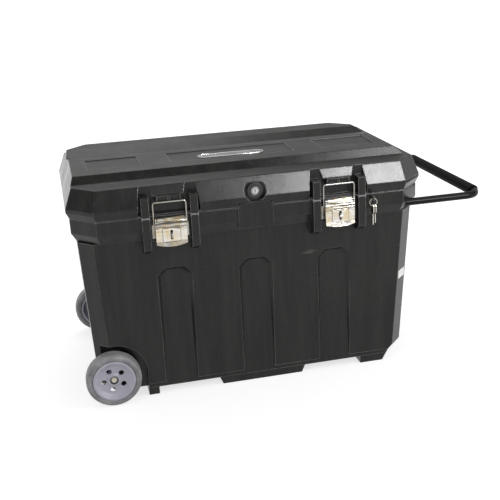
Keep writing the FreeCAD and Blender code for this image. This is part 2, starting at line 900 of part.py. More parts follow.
# ---------------------------------------------------------------------------------------------
# Lid
# ---------------------------------------------------------------------------------------------
def lid_skin():
    """The lid's outside: lip, undercut, skirt, slope and ledge, with the raised panels on top."""
    skirt = loft(
        "lid_skirt",
        [
            (octagon("lip_x", "lip_y", "lip_cut"), "lid_low"),
            (octagon("skirt_x", "skirt_y", "skirt_cut"), "skirt_low"),
            (octagon("skirt_x", "skirt_y", "skirt_cut"), "skirt_top"),
            (octagon("ledge_x", "ledge_y", "ledge_cut"), "ledge_z"),
        ],
    )

    def raised_outline(grow, left):
        right = f"panel_right + ({grow})"
        back = f"rear_panel_back + ({grow})"
        return [
            (left, f"-panel_front - ({grow})"),
            (right, f"-panel_front - ({grow})"),
            (right, f"{back} - rear_panel_cut"),
            (f"{right} - rear_panel_cut", back),
            (f"{left} + rear_panel_cut", back),
            (left, f"{back} - rear_panel_cut"),
        ]

    raised = loft(
        "lid_raised",
        [
            (raised_outline("raise_run", "-ledge_x"), "ledge_z"),
            (raised_outline("0", "-ledge_x + slope_inset"), "box_height"),
        ],
    )
    groove = prism(
        "lid_groove",
        "yz",
        [
            ("groove_near", "box_height"),
            ("groove_low", "box_height - groove_depth"),
            ("groove_far", "box_height"),
            ("groove_far + 10", "box_height + 10"),
            ("groove_near - 10", "box_height + 10"),
        ],
        ("-skirt_x", "skirt_x"),
    )
    top, lip_low = size("box_height"), size("lid_low")
    grooved = cut("lid_grooved", raised, groove)
    soft = rounded("lid_raised_soft", grooved, size("edge_round"), lambda edge: at_height(edge, top))
    skirt_soft = rounded(
        "lid_skirt_soft",
        skirt,
        size("edge_round"),
        lambda edge: not at_height(edge, lip_low),
    )
    return fuse("lid_skin", [skirt_soft, soft])


def lid_recesses():
    """Three shallow recesses in the front raised panel."""
    cuts = []
    spans = (
        ("-ledge_x + left_recess_edge", "-ledge_x + left_recess_edge + left_recess_length"),
        ("badge_x - middle_recess_length / 2", "badge_x + middle_recess_length / 2"),
        ("panel_right - right_recess_edge - right_recess_length", "panel_right - right_recess_edge"),
    )
    for i, (start, end) in enumerate(spans):
        cuts.append(
            box(
                f"lid_recess_{i + 1}",
                (start, end),
                ("-recess_front", "-recess_back"),
                ("box_height - recess_depth", "box_height + 5"),
            )
        )
    return cuts


def lid_cavity():
    """The lid's hollow, open below inside the lip, kept clear of the latch pockets and the lock."""
    thick = "wall"
    room = loft(
        "lid_room",
        [
            (octagon(f"lip_x - {thick}", f"lip_y - {thick}", "lip_cut"), "lid_low + lip_depth"),
            (octagon(f"skirt_x - {thick}", f"skirt_y - {thick}", "skirt_cut"), "skirt_low + 2"),
            (octagon(f"skirt_x - {thick}", f"skirt_y - {thick}", "skirt_cut"), "skirt_top"),
            (octagon(f"ledge_x - {thick}", f"ledge_y - {thick}", "ledge_cut"), f"ledge_z - {thick}"),
        ],
    )
    mouth = loft(
        "lid_mouth",
        [
            (octagon("mouth_x", "mouth_y", "mouth_cut"), "seam_height - 5"),
            (octagon("mouth_x", "mouth_y", "mouth_cut"), "lid_low + lip_depth"),
        ],
    )
    crown = box(
        "lid_crown",
        ("-ledge_x + 8 + wall", "panel_right - wall"),
        ("-panel_front + wall", "groove_near - 10"),
        ("skirt_top", "box_height - recess_depth - wall"),
    )
    rear_crown = box(
        "lid_rear_crown",
        ("-ledge_x + rear_panel_cut", "panel_right - rear_panel_cut"),
        ("groove_far + wall", "rear_panel_back - wall"),
        ("skirt_top", "box_height - wall"),
    )
    hollow = fuse("lid_hollow", [room, mouth, crown, rear_crown])
    blocks = []
    for side in (-1, 1):
        blocks.append(
            box(
                f"pocket_wall_{side + 2}",
                (latch_side(side, "-pocket_low / 2 - wall"), latch_side(side, "pocket_low / 2 + wall")),
                ("-skirt_y", "-pocket_face + wall"),
                ("seam_height", "box_height"),
            )
        )
    blocks.append(
        box(
            "lock_wall",
            ("-bay_width / 2 - wall", "bay_width / 2 + wall"),
            ("-skirt_y", "-recess_floor + 2 * wall"),
            ("seam_height", "box_height"),
        )
    )
    return cut("lid_cavity", hollow, *blocks)


def latch_pocket(side):
    """The pocket in the lid's slope for one latch, with the brow left standing above it."""
    tag = "left" if side < 0 else "right"
    floor = "lid_low + lip_depth"
    corners = [
        (latch_side(side, "-pocket_top / 2"), "ledge_z"),
        (latch_side(side, "-brow_top / 2"), "ledge_z"),
        (latch_side(side, "-brow_low / 2"), "ledge_z - brow_height"),
        (latch_side(side, "brow_low / 2"), "ledge_z - brow_height"),
        (latch_side(side, "brow_top / 2"), "ledge_z"),
        (latch_side(side, "pocket_top / 2"), "ledge_z"),
        (latch_side(side, "pocket_low / 2"), "skirt_top - 2 * edge_round"),
        (latch_side(side, "pocket_low / 2"), floor),
        (latch_side(side, "-pocket_low / 2"), floor),
        (latch_side(side, "-pocket_low / 2"), "skirt_top - 2 * edge_round"),
    ]
    deep = prism(f"pocket_deep_{tag}", "xz", corners, ("-skirt_y - 10", "-pocket_face"))
    shallow = box(
        f"pocket_shallow_{tag}",
        (latch_side(side, "-pocket_low / 2"), latch_side(side, "pocket_low / 2")),
        ("-skirt_y - 10", "-lip_y"),
        ("seam_height - 5", "lid_low + lip_depth"),
    )
    return [deep, shallow]


def lid_latch_ribs(side):
    """The lid's halves of the latch ribs, and the keeper between them."""
    tag = "left" if side < 0 else "right"
    profile = [
        ("-pocket_face + 2", "lid_low"),
        ("-rib_face", "lid_low"),
        ("-rib_face", "rib_top - 3"),
        ("-rib_face + 3", "rib_top"),
        ("-pocket_face + 2", "rib_top"),
    ]
    shapes = []
    for hand in (-1, 1):
        start = latch_side(side, f"{hand} * rib_offset - rib_width / 2")
        shapes.append(
            prism(f"lid_rib_{tag}_{hand + 2}", "yz", profile, (start, f"{start} + rib_width"))
        )
    keeper = box(
        f"keeper_block_{tag}",
        (latch_side(side, "-keeper_width / 2"), latch_side(side, "keeper_width / 2")),
        ("-keeper_face", "-pocket_face + 2"),
        ("ledge_z - brow_height - keeper_height", "ledge_z - brow_height"),
    )
    slots = [
        box(
            f"keeper_slot_{tag}_{spot + 2}",
            (latch_side(side, f"{spot} * keeper_width / 4 - keeper_width / 5"),
             latch_side(side, f"{spot} * keeper_width / 4 + keeper_width / 5")),
            ("-keeper_face - 1", "-keeper_face + 3"),
            ("ledge_z - brow_height - keeper_height + 3", "ledge_z - brow_height - 2"),
        )
        for spot in (-1, 1)
    ]
    shapes.append(cut(f"keeper_{tag}", keeper, *slots))
    return shapes


def build_lid():
    """The lid: one moulded shell with latch pockets, keepers, lock recess and hinge knuckles."""
    pockets = latch_pocket(-1) + latch_pocket(1)
    notch = prism(
        "tongue_notch",
        "xz",
        [
            ("-bay_width / 2 - 2 * tongue_gap", "seam_height - 5"),
            ("bay_width / 2 + 2 * tongue_gap", "seam_height - 5"),
            ("bay_width / 2 + 2 * tongue_gap", "lid_low + tongue_gap"),
            ("bay_width / 2 + 2 * tongue_gap - tongue_slant", "lid_low + tongue_height + tongue_gap"),
            ("-bay_width / 2 - 2 * tongue_gap + tongue_slant", "lid_low + tongue_height + tongue_gap"),
            ("-bay_width / 2 - 2 * tongue_gap", "lid_low + tongue_gap"),
        ],
        ("-skirt_y - 5", "-notch_back"),
    )
    recess = rod("lock_recess_cut", "y", ("0", "lock_z"), "lock_recess", ("-skirt_y - 5", "-recess_floor"))
    shell = cut("lid_hollowed", lid_skin(), lid_cavity(), *pockets, *lid_recesses(), notch, recess)
    lugs = hinge_lugs(
        "lid",
        ("lid_low + 1", "lid_low + 1"),
        ("skirt_low", "seam_height + knuckle_radius"),
    )
    full = fuse("lid_full", [shell] + lid_latch_ribs(-1) + lid_latch_ribs(1) + lugs)
    seal_cut = ring_band("seal_groove", "seal_inset - slide_gap", "seal_width + 2 * slide_gap",
                         ("seam_height - 1", "lid_low + seal_depth"))
    lock_hole = rod("lock_hole", "y", ("0", "lock_z"), "barrel_radius + fit_gap", ("-skirt_y", "-mouth_y + 30"))
    keep("lid", cut("lid_shell", full, pin_holes("lid_pin_holes"), seal_cut, lock_hole))


def ring_band(name, inset, width, span):
    """An eight-sided ring that follows the lip at an inset, between two heights."""
    outer = loft(
        name + "_outer",
        [
            (octagon(f"lip_x - ({inset})", f"lip_y - ({inset})", f"lip_cut - ({inset}) * cut_growth"), height)
            for height in span
        ],
    )
    deep = f"({inset}) + ({width})"
    inner = loft(
        name + "_inner",
        [
            (octagon(f"lip_x - ({deep})", f"lip_y - ({deep})", f"lip_cut - ({deep}) * cut_growth"), height)
            for height in (f"({span[0]}) - 1", f"({span[1]}) + 1")
        ],
    )
    return cut(name, outer, inner)


def build_seal():
    """The rubber seal in the lid's lip."""
    keep("lid_seal", ring_band("seal", "seal_inset", "seal_width", ("seam_height + 0.2", "lid_low + seal_depth - 0.2")))


def build_badge():
    """A bare name plate with round ends on the lid's middle recess."""
    body = new_body("badge_body")
    sketch = body_sketch(body, "badge_outline", "xy")
    draw_slot(sketch, "badge_length", "badge_width * 0.55")
    plate = pad(body, "badge_plate", sketch, "badge_thick")
    top = size("badge_thick")
    body_fillet(body, "badge_edge", plate, "badge_thick * 0.4", lambda edge: at_height(edge, top))
    place(body, "badge_x", "-(recess_front + recess_back) / 2 - 18", "box_height - recess_depth")
    keep("badge", body)


def draw_slot(sketch, length, width):
    """A slot outline centred on the sketch's origin: two lines and two half circles."""
    half, radius = 50.0, 10.0
    up, side = Vector(0, 0, 1), half - radius
    top = sketch.addGeometry(Part.LineSegment(Vector(-side, radius, 0), Vector(side, radius, 0)))
    low = sketch.addGeometry(Part.LineSegment(Vector(side, -radius, 0), Vector(-side, -radius, 0)))
    quarter = math.pi / 2
    right = sketch.addGeometry(Part.ArcOfCircle(Part.Circle(Vector(side, 0, 0), up, radius), -quarter, quarter))
    left = sketch.addGeometry(Part.ArcOfCircle(Part.Circle(Vector(-side, 0, 0), up, radius), quarter, 3 * quarter))
    for link in ((top, 2, right, 2), (low, 1, right, 1), (low, 2, left, 2), (top, 1, left, 1)):
        sketch.addConstraint(Sketcher.Constraint("Tangent", *link))
    sketch.addConstraint(Sketcher.Constraint("Horizontal", top))
    sketch.addConstraint(Sketcher.Constraint("PointOnObject", right, 3, -1))
    sketch.addConstraint(Sketcher.Constraint("Symmetric", left, 3, right, 3, -1, 1))
    reach = sketch.addConstraint(Sketcher.Constraint("DistanceX", -1, 1, right, 3, side))
    sketch.setExpression(f"Constraints[{reach}]", cells(f"(({length}) - ({width})) / 2"))
    round_end = sketch.addConstraint(Sketcher.Constraint("Radius", right, radius))
    sketch.setExpression(f"Constraints[{round_end}]", cells(f"({width}) / 2"))


# ---------------------------------------------------------------------------------------------
# Hinge pins
# ---------------------------------------------------------------------------------------------
def build_hinge_pins():
    """One steel pin at each hinge station."""
    reach = "1.5 * knuckle_length + 1"
    for station, name in ((-1, "left"), (0, "middle"), (1, "right")):
        middle = f"{station} * hinge_pitch"
        span = (f"{middle} - ({reach})", f"{middle} + {reach}")
        keep(
            f"hinge_pin_{name}",
            rod(f"hinge_rod_{name}", "x", ("hinge_y", "seam_height"), "hinge_pin_radius", span),
        )


# ---------------------------------------------------------------------------------------------
# Toggle latches
# ---------------------------------------------------------------------------------------------
def build_latch_base(side, tag):
    """The base plate with its two pivot ears and the padlock staple."""
    low = "pivot_z - base_drop"
    plate = box(
        f"base_plate_{tag}",
        (latch_side(side, "-base_width / 2"), latch_side(side, "base_width / 2")),
        ("-base_face", "-base_back"),
        (low, "pivot_z - 14"),
    )
    neck = box(
        f"base_neck_{tag}",
        (latch_side(side, "-lever_width / 2 + 3"), latch_side(side, "lever_width / 2 - 3")),
        ("-base_face", "-base_back"),
        (low, "pivot_z + 4"),
    )
    shapes = [plate, neck]
    ear = "ear_radius"
    for hand in (-1, 1):
        inner = f"{hand} * (lever_width / 2 - ear_inset)"
        outer = f"{hand} * (lever_width / 2 - ear_inset + sheet_metal)"
        span = (latch_side(side, inner), latch_side(side, outer))
        span = span if hand > 0 else (span[1], span[0])
        shapes.append(
            box(f"ear_{tag}_{hand + 2}", span, ("-pivot_y", "-base_face + 0.5"), (f"pivot_z - {ear}", f"pivot_z + {ear}"))
        )
        shapes.append(rod(f"ear_nose_{tag}_{hand + 2}", "x", ("-pivot_y", "pivot_z"), ear, span))
    staple = (latch_side(side, "-1.5"), latch_side(side, "1.5"))
    eye = "eye_radius + 3.2"
    shapes.append(
        box(
            f"staple_{tag}",
            staple,
            ("-staple_face", "-base_face + 0.5"),
            (f"staple_z - ({eye})", f"staple_z + {eye}"),
        )
    )
    shapes.append(rod(f"staple_nose_{tag}", "x", ("-staple_face", "staple_z"), eye, staple))
    wide = (latch_side(side, "-base_width"), latch_side(side, "base_width"))
    holes = [
        rod(f"ear_holes_{tag}", "x", ("-pivot_y", "pivot_z"), "pivot_radius + running_gap", wide),
        rod(f"staple_eye_{tag}", "x", ("-staple_face", "staple_z"), "eye_radius", wide),
    ]
    keep(f"latch_{tag}_base", cut(f"base_{tag}", fuse(f"base_full_{tag}", shapes), *holes))


def build_latch_rivets(side, tag):
    """Three rivet heads that hold the base plate to the tub."""
    heads = []
    low = "pivot_z - base_drop + 7"
    for i, (x, z) in enumerate((("-base_width / 2 + 6", low), ("base_width / 2 - 6", low), ("12", "pivot_z - 6"))):
        spot = (latch_side(side, x), z)
        heads.append(rod(f"rivet_{tag}_{i}", "y", spot, "3", ("-base_face - 1.4", "-base_face")))
    keep(f"latch_{tag}_rivets", compound(f"rivet_set_{tag}", heads))


def compound(name, members):
    """Several separate solids in one object."""
    group = DOC.addObject("Part::Compound", name)
    group.Links = members
    return group


def build_latch_pin(side, tag):
    """The lever's pivot pin."""
    reach = "lever_width / 2 + 0.2"
    span = (latch_side(side, f"-({reach})"), latch_side(side, reach))
    keep(f"latch_{tag}_pivot_pin", rod(f"pivot_rod_{tag}", "x", ("-pivot_y", "pivot_z"), "pivot_radius", span))


def build_latch_lever(side, tag):
    """The pressed lever: a plate curled round the pivot, with side flanges and a flared lip."""
    half = "lever_width / 2"
    wide = (latch_side(side, f"-({half})"), latch_side(side, half))
    face, back = "-lever_face", "-lever_face + sheet_metal"
    tip = "pivot_z - lever_drop"
    curl = tube(f"curl_{tag}", "x", ("-pivot_y", "pivot_z"), "curl_radius", "curl_radius - sheet_metal", wide)
    mouth = box(
        f"curl_mouth_{tag}",
        (latch_side(side, "-lever_width"), latch_side(side, "lever_width")),
        ("-pivot_y", "-pivot_y + 2 * curl_radius"),
        ("pivot_z - 2 * curl_radius", "pivot_z + 1"),
    )
    plate = prism(
        f"lever_plate_{tag}",
        "yz",
        [
            (face, "pivot_z"),
            (back, "pivot_z"),
            (back, f"{tip} + 14"),
            (f"{back} - 3.5", f"{tip} + 0.6"),
            (f"{face} - 4", tip),
            (face, f"{tip} + 13"),
        ],
        wide,
    )
    bead = rod(f"lever_bead_{tag}", "x", (f"{back} - 0.5", "pivot_z - 10"), "3", wide)
    panel = box(
        f"lever_panel_{tag}",
        (latch_side(side, "-lever_width * 0.28"), latch_side(side, "lever_width * 0.28")),
        (f"{face} - 1.6", f"{back}"),
        ("staple_z - 18", "staple_z + 17"),
    )
    flange = [
        (face, "pivot_z"),
        (face, f"{tip} + 12"),
        (back, f"{tip} + 12"),
        ("-pivot_y - 1", "pivot_z - 34"),
        ("-pivot_y + 4.6", "pivot_z - 22"),
        ("-pivot_y + 4.6", "pivot_z"),
    ]
    shapes = [cut(f"curl_open_{tag}", curl, mouth), plate, bead, soften_panel(panel, tag)]
    for hand in (-1, 1):
        inner = latch_side(side, f"{hand} * (lever_width / 2 - sheet_metal)")
        outer = latch_side(side, f"{hand} * (lever_width / 2)")
        span = (inner, outer) if hand > 0 else (outer, inner)
        shapes.append(prism(f"flange_{tag}_{hand + 2}", "yz", flange, span))
        shapes.append(rod(f"flange_end_{tag}_{hand + 2}", "x", ("-pivot_y", "pivot_z"), "curl_radius - 1", span))
    past = (latch_side(side, "-lever_width"), latch_side(side, "lever_width"))
    holes = [
        rod(f"lever_pin_hole_{tag}", "x", ("-pivot_y", "pivot_z"), "pivot_radius + running_gap", past),
        rod(f"lever_link_hole_{tag}", "x", ("-link_y", "link_z"), "wire_radius + running_gap", past),
        box(
            f"staple_slot_{tag}",
            (latch_side(side, "-3"), latch_side(side, "3")),
            (f"{face} - 5", "-base_face"),
            ("staple_z - 12", "staple_z + 12"),
        ),
        box(
            f"ear_room_{tag}",
            (latch_side(side, "-(lever_width / 2 - sheet_metal - 0.4)"), latch_side(side, "lever_width / 2 - sheet_metal - 0.4")),
            (back, "-base_face + 2"),
            ("pivot_z - curl_radius", "pivot_z - 1"),
        ),
    ]
    for hand in (-1, 1):
        near = latch_side(side, f"{hand} * (lever_width / 2 - ear_inset - ear_gap)")
        far = latch_side(side, f"{hand} * (lever_width / 2 - ear_inset + sheet_metal + ear_gap)")
        holes.append(
            box(
                f"ear_slot_{tag}_{hand + 2}",
                (near, far) if hand > 0 else (far, near),
                (f"{face} - 1", "-pivot_y + 2 * curl_radius"),
                ("pivot_z - ear_radius", "pivot_z + curl_radius + 1"),
            )
        )
    bow = "lever_width / 2 * (lever_width / 2) / (2 * lip_bow)"
    below = box(f"lip_below_{tag}", past, (f"{face} - 8", "-base_face"), (f"{tip} - 5", f"{tip} + lip_bow + 1"))
    circle = rod(f"lip_circle_{tag}", "y", (latch_side(side, "0"), f"{tip} + {bow}"), bow, (f"{face} - 9", "0"))
    holes.append(cut(f"lip_bow_{tag}", below, circle))
    keep(f"latch_{tag}_lever", cut(f"lever_{tag}", fuse(f"lever_full_{tag}", shapes), *holes))


def soften_panel(panel, tag):
    """Bevel the embossed square's front edges."""
    DOC.recompute()
    face = panel.Shape.BoundBox.YMin
    return rounded(f"lever_panel_soft_{tag}", panel, 1.2, lambda edge: all(abs(v.Y - face) < 0.01 for v in edge.Vertexes))


def build_latch_bail(side, tag):
    """The wire loop: a crossbar, two legs with bent corners, and two ends turned into the lever."""
    bend = "3 * wire_radius"
    leg = "bail_half"
    shapes = []
    shapes.append(
        rod(
            f"bail_bar_{tag}",
            "x",
            ("-link_y", "bail_z"),
            "wire_radius",
            (latch_side(side, f"-{leg} + {bend}"), latch_side(side, f"{leg} - {bend}")),
        )
    )
    for hand in (-1, 1):
        x = latch_side(side, f"{hand} * {leg}")
        shapes.append(
            rod(f"bail_leg_{tag}_{hand + 2}", "z", (x, "-link_y"), "wire_radius", ("link_z", f"bail_z - {bend}"))
        )
        shapes.append(corner_bend(f"bail_corner_{tag}_{hand + 2}", hand,
                                  latch_side(side, f"{hand} * ({leg} - {bend})"), f"bail_z - {bend}", bend))
        shapes.append(ball(f"bail_knee_{tag}_{hand + 2}", x, "-link_y", "link_z", "wire_radius"))
        end = latch_side(side, f"{hand} * (lever_width / 2 - sheet_metal - 0.2)")
        span = (end, x) if hand > 0 else (x, end)
        shapes.append(rod(f"bail_end_{tag}_{hand + 2}", "x", ("-link_y", "link_z"), "wire_radius", span))
    keep(f"latch_{tag}_bail", fuse(f"bail_{tag}", shapes))


def corner_bend(name, hand, x, z, bend):
    """A quarter of a ring of wire in the XZ plane, turning from upright to level."""
    ring = DOC.addObject("Part::Torus", name)
    ring.Placement = Placement(Vector(), Rotation(Vector(1, 0, 0), 90))
    bind(ring, Radius1=bend, Radius2="wire_radius")
    ring.Angle3 = 90
    if hand < 0:
        ring.Placement = Placement(Vector(), Rotation(Vector(0, 1, 0), -90) * Rotation(Vector(1, 0, 0), 90))
    return place(ring, x, "-link_y", z)


def ball(name, x, y, z, radius):
    """A sphere."""
    part = DOC.addObject("Part::Sphere", name)
    bind(part, Radius=radius)
    return place(part, x, y, z)


def build_latches():
    """Both latches, mirror images of each other."""
    for side, tag in ((-1, "left"), (1, "right")):
        build_latch_base(side, tag)
        build_latch_rivets(side, tag)
        build_latch_pin(side, tag)
        build_latch_lever(side, tag)
        build_latch_bail(side, tag)


# ---------------------------------------------------------------------------------------------
# Lock and keys
# ---------------------------------------------------------------------------------------------
def build_lock():
    """The key lock in the lid, its cam behind the wall and the strike on the tub."""
    axis = ("0", "lock_z")
    floor = "-recess_floor"
    bezel = tube("bezel_ring", "y", axis, "bezel_radius", "barrel_radius + fit_gap", (f"{floor} - 7", floor))
    DOC.recompute()
    face = bezel.Shape.BoundBox.YMin
    keep("lock_bezel", rounded("bezel_soft", bezel, 2.5,
                               lambda edge: all(abs(v.Y - face) < 0.01 for v in edge.Vertexes)))
    barrel = rod("barrel_body", "y", axis, "barrel_radius", (f"{floor} - 8", "-mouth_y + 8"))
    bore = rod("barrel_bore", "y", axis, "plug_radius + running_gap", (f"{floor} - 20", "-mouth_y + 20"))
    keep("lock_barrel", cut("barrel", barrel, bore))
    nut_start = f"{floor} + 2 * wall"
    nut = DOC.addObject("Part::Prism", "nut_hexagon")
    nut.Polygon = 6
    nut.Placement = Placement(Vector(), ALONG["y"])
    bind(nut, Circumradius="barrel_radius + 6", Height="4")
    place(nut, "0", nut_start, "lock_z")
    hole = rod("nut_hole", "y", axis, "barrel_radius + fit_gap", (f"{nut_start} - 1", f"{nut_start} + 5"))
    keep("lock_nut", cut("nut", nut, hole))
    cam_y = "(-mouth_y + 9)"
    head = rod("plug_head", "y", axis, "plug_radius", (f"{floor} - 9", f"{cam_y} - 0.6"))
    tail = rod("plug_tail", "y", axis, "plug_radius - 1.5", (f"{cam_y} - 1", f"{cam_y} + 3"))
    slot = box("keyway", ("-1.2", "1.2"), (f"{floor} - 12", f"{floor} + 6"), ("lock_z - 4.5", "lock_z + 4.5"))
    keep("lock_plug", cut("plug", fuse("plug_full", [head, tail]), slot))
    thick = (cam_y, f"{cam_y} + 3")
    blade = box("cam_blade", ("-cam_width / 2", "cam_width / 2"), thick, ("lock_z - cam_reach", "lock_z"))
    disc = rod("cam_disc", "y", axis, "plug_radius + 4", thick)
    eye = rod("cam_eye", "y", axis, "plug_radius - 1.5", (f"{cam_y} - 1", f"{cam_y} + 4"))
    keep("lock_cam", cut("cam", fuse("cam_full", [blade, disc]), eye))
    screw = rod("cam_screw_head", "y", axis, "plug_radius + 1", (f"{cam_y} + 3", f"{cam_y} + 6"))
    cross = [
        box("screw_slot_a", ("-5", "5"), (f"{cam_y} + 4.5", f"{cam_y} + 7"), ("lock_z - 0.8", "lock_z + 0.8")),
        box("screw_slot_b", ("-0.8", "0.8"), (f"{cam_y} + 4.5", f"{cam_y} + 7"), ("lock_z - 5", "lock_z + 5")),
    ]
    keep("lock_cam_screw", cut("cam_screw", screw, *cross))
    build_strike()


def build_strike():
    """A steel bracket inside the tub's front wall: the locked cam lies under its bent-over top."""
    low, high = "seam_height - 21", "seam_height - 4"
    start, end = "strike_x", "strike_x + strike_width"
    wall_face = "-mouth_y"
    top = "lock_z + cam_width / 2 + 2"
    behind = "(-mouth_y + 9 + 3 + 3)"
    foot = box("strike_foot", (start, end), (wall_face, f"{wall_face} + 2"), (low, high))
    bridge = box("strike_bridge", (start, end), (wall_face, f"{behind} + 2.5"), (f"{high} - 2.5", high))
    post = box("strike_post", (start, end), (behind, f"{behind} + 2.5"), (f"{high} - 2.5", f"{top} + 2.5"))
    lip = box("strike_lip", (start, end), (f"{wall_face} + 6", f"{behind} + 2.5"), (top, f"{top} + 2.5"))
    hole_spot = ("strike_x + strike_width / 2", "seam_height - 13")
    hole = rod("strike_hole", "y", hole_spot, "2.2", (f"{wall_face} - 5", f"{wall_face} + 5"))
    keep("lock_strike", cut("strike", fuse("strike_full", [foot, bridge, post, lip]), hole))
    shank = rod("strike_screw_shank", "y", hole_spot, "1.9", (f"{wall_face} - 7", f"{wall_face} + 3"))
    head = rod("strike_screw_head", "y", hole_spot, "4", (f"{wall_face} + 2", f"{wall_face} + 4"))
    keep("lock_strike_screw", fuse("strike_screw", [shank, head]))


def build_keys():
    """A ring through the moulded eye, with two keys hanging on it."""
    ring = DOC.addObject("Part::Torus", "ring_wire_loop")
    ring.Placement = Placement(Vector(), Rotation(Vector(1, 0, 0), 90))
    bind(ring, Radius1="ring_radius", Radius2="ring_wire")
    place(ring, "key_x", "-key_eye_y", "key_eye_z - ring_radius - 0.6")
    keep("key_ring", ring)
    for name, offset, length in (("first", "-3.4", "key_length"), ("second", "2.6", "key_length * 0.9")):
        body = new_body(f"key_{name}_body")
        sketch = body_sketch(body, f"key_{name}_outline", "yz")
        blade = "key_bow * 0.42"
        draw_polygon(
            sketch,
            [
                ("-key_bow", "-key_bow * 1.5"),
                (f"-({blade})", "-key_bow * 2.1"),
                (f"-({blade})", f"-({length})"),
                ("0", f"-({length}) - 3"),
                (blade, f"-({length})"),
                (blade, "-key_bow * 2.1"),
                ("key_bow", "-key_bow * 1.5"),
                ("key_bow", "key_bow * 0.1"),
                ("key_bow * 0.5", "key_bow * 0.45"),
                ("-key_bow * 0.5", "key_bow * 0.45"),
                ("-key_bow", "key_bow * 0.1"),
            ],
        )
        plate = pad(body, f"key_{name}_plate", sketch, "key_thick")
        hole_sketch = body_sketch(body, f"key_{name}_hole_outline", "yz")
        draw_circle(hole_sketch, ("0", "0"), "ring_wire + 1.3")
        pocket(body, f"key_{name}_hole", hole_sketch, "4 * key_thick", symmetric=True)
        place(body, f"key_x + {offset}", "-key_eye_y", "key_eye_z - 2 * ring_radius - 0.9")
        keep(f"key_{name}", body)


# ---------------------------------------------------------------------------------------------
# Wheels and axle
# ---------------------------------------------------------------------------------------------
def wheel_profile(body, name, corners):
    """A ring turned from a profile of (radius, distance along the axle)."""
    sketch = body_sketch(body, name, "xz")
    draw_polygon(sketch, corners)
    return spin(body, name + "_turned", sketch)


def build_wheel(side, tag):
    """A wheel: dished hub with five round holes, and a rubber tyre pressed over its rim."""
    half = "wheel_width / 2"
    rim = "rim_radius - 0.1"
    web = f"({half} - dish_depth)"
    hub = new_body(f"hub_{tag}_body")
    turned = wheel_profile(
        hub,
        f"hub_{tag}_profile",
        [
            ("axle_radius + running_gap", f"-({half})"),
            ("hub_radius", f"-({half})"),
            ("hub_radius", f"{web} - web_thick"),
            ("rim_radius - 12", f"{web} - web_thick"),
            ("rim_radius - 5", f"-({half}) + 2"),
            (rim, f"-({half}) + 2"),
            (rim, f"{half} - 0.5"),
            ("rim_radius - 2", half),
            ("rim_radius - 6", half),
            ("rim_radius - 8", f"{half} - 1.5"),
            ("rim_radius - 11", f"{web} + 2.5"),
            ("rim_radius - 16", web),
            ("hub_radius + 4", f"{web} - 0.8"),
            ("hub_radius", f"{web} + 1.2"),
            ("cap_radius + 0.6", f"{web} + 1.2"),
            ("cap_radius + 0.6", f"{web} - cap_height + 0.2"),
            ("axle_radius + running_gap", f"{web} - cap_height + 0.2"),
        ],
    )
    hole_sketch = body_sketch(hub, f"hub_{tag}_hole", "xy")
    turn = math.radians(size("web_hole_turn"))
    across, up = round(-math.sin(turn), 6), round(-math.cos(turn), 6)
    draw_circle(
        hole_sketch,
        (f"{side * -1} * {across} * web_hole_circle", f"{up} * web_hole_circle"),
        "web_hole_radius",
    )
    hole = pocket(hub, f"hub_{tag}_hole_cut", hole_sketch, "3 * wheel_width", symmetric=True)
    ring = hub.newObject("PartDesign::PolarPattern", f"hub_{tag}_holes")
    ring.Originals = [hole]
    ring.Axis = (turned.Profile[0], ["V_Axis"])
    ring.Angle = 360
    bind(ring, Occurrences="web_holes")
    hub.Tip = ring

    tyre = new_body(f"tyre_{tag}_body")
    crown = "wheel_radius"
    wheel_profile(
        tyre,
        f"tyre_{tag}_profile",
        [
            ("rim_radius", f"-({half}) + 3"),
            ("rim_radius + 3", f"-({half})"),
            (f"{crown} - 8", f"-({half})"),
            (f"{crown} - 2.5", f"-({half}) + 4"),
            (crown, f"-({half}) + 10"),
            (crown, f"{half} - 10"),
            (f"{crown} - 2.5", f"{half} - 4"),
            (f"{crown} - 8", half),
            ("rim_radius + 3", half),
            ("rim_radius", f"{half} - 3"),
        ],
    )
    for body in (hub, tyre):
        body.Placement = Placement(Vector(), Rotation(Vector(1, 0, 0), -90 * side))
        place(body, "-axle_x", f"{side} * (wheel_track / 2 - wheel_width / 2)", "axle_z")
    keep(f"wheel_{tag}_hub", hub)
    keep(f"wheel_{tag}_tyre", tyre)


def build_axle():
    """The axle, a spacer beside each well wall and a push-on cap sunk in each hub."""
    seat = "(wheel_track / 2 - dish_depth - cap_height + 0.5)"
    end = f"({seat} + cap_height - 2.5)"
    keep("axle", rod("axle_rod", "y", ("-axle_x", "axle_z"), "axle_radius", (f"-{end}", end)))
    for side, tag in ((-1, "front"), (1, "rear")):
        bore = "axle_radius + fit_gap"
        near, far = "well_wall + 0.3", "wheel_track / 2 - wheel_width - 0.3"
        span = (f"{side} * ({near})", f"{side} * ({far})")
        spacer_span = span if side > 0 else (span[1], span[0])
        axis = ("-axle_x", "axle_z")
        keep(f"axle_spacer_{tag}", tube(f"spacer_{tag}", "y", axis, "hub_radius - 3", bore, spacer_span))
        cap_body = new_body(f"axle_cap_{tag}_body")
        wheel_profile(
            cap_body,
            f"axle_cap_{tag}_profile",
            [
                (bore, "0"),
                ("cap_radius", "0"),
                ("cap_radius", "cap_height - 3"),
                ("cap_radius * 0.7", "cap_height"),
                ("0", "cap_height"),
                ("0", "cap_height - 2"),
                (bore, "cap_height - 2"),
            ],
        )
        cap_body.Placement = Placement(Vector(), Rotation(Vector(1, 0, 0), -90 * side))
        place(cap_body, "-axle_x", f"{side} * {seat}", "axle_z")
        keep(f"axle_cap_{tag}", cap_body)


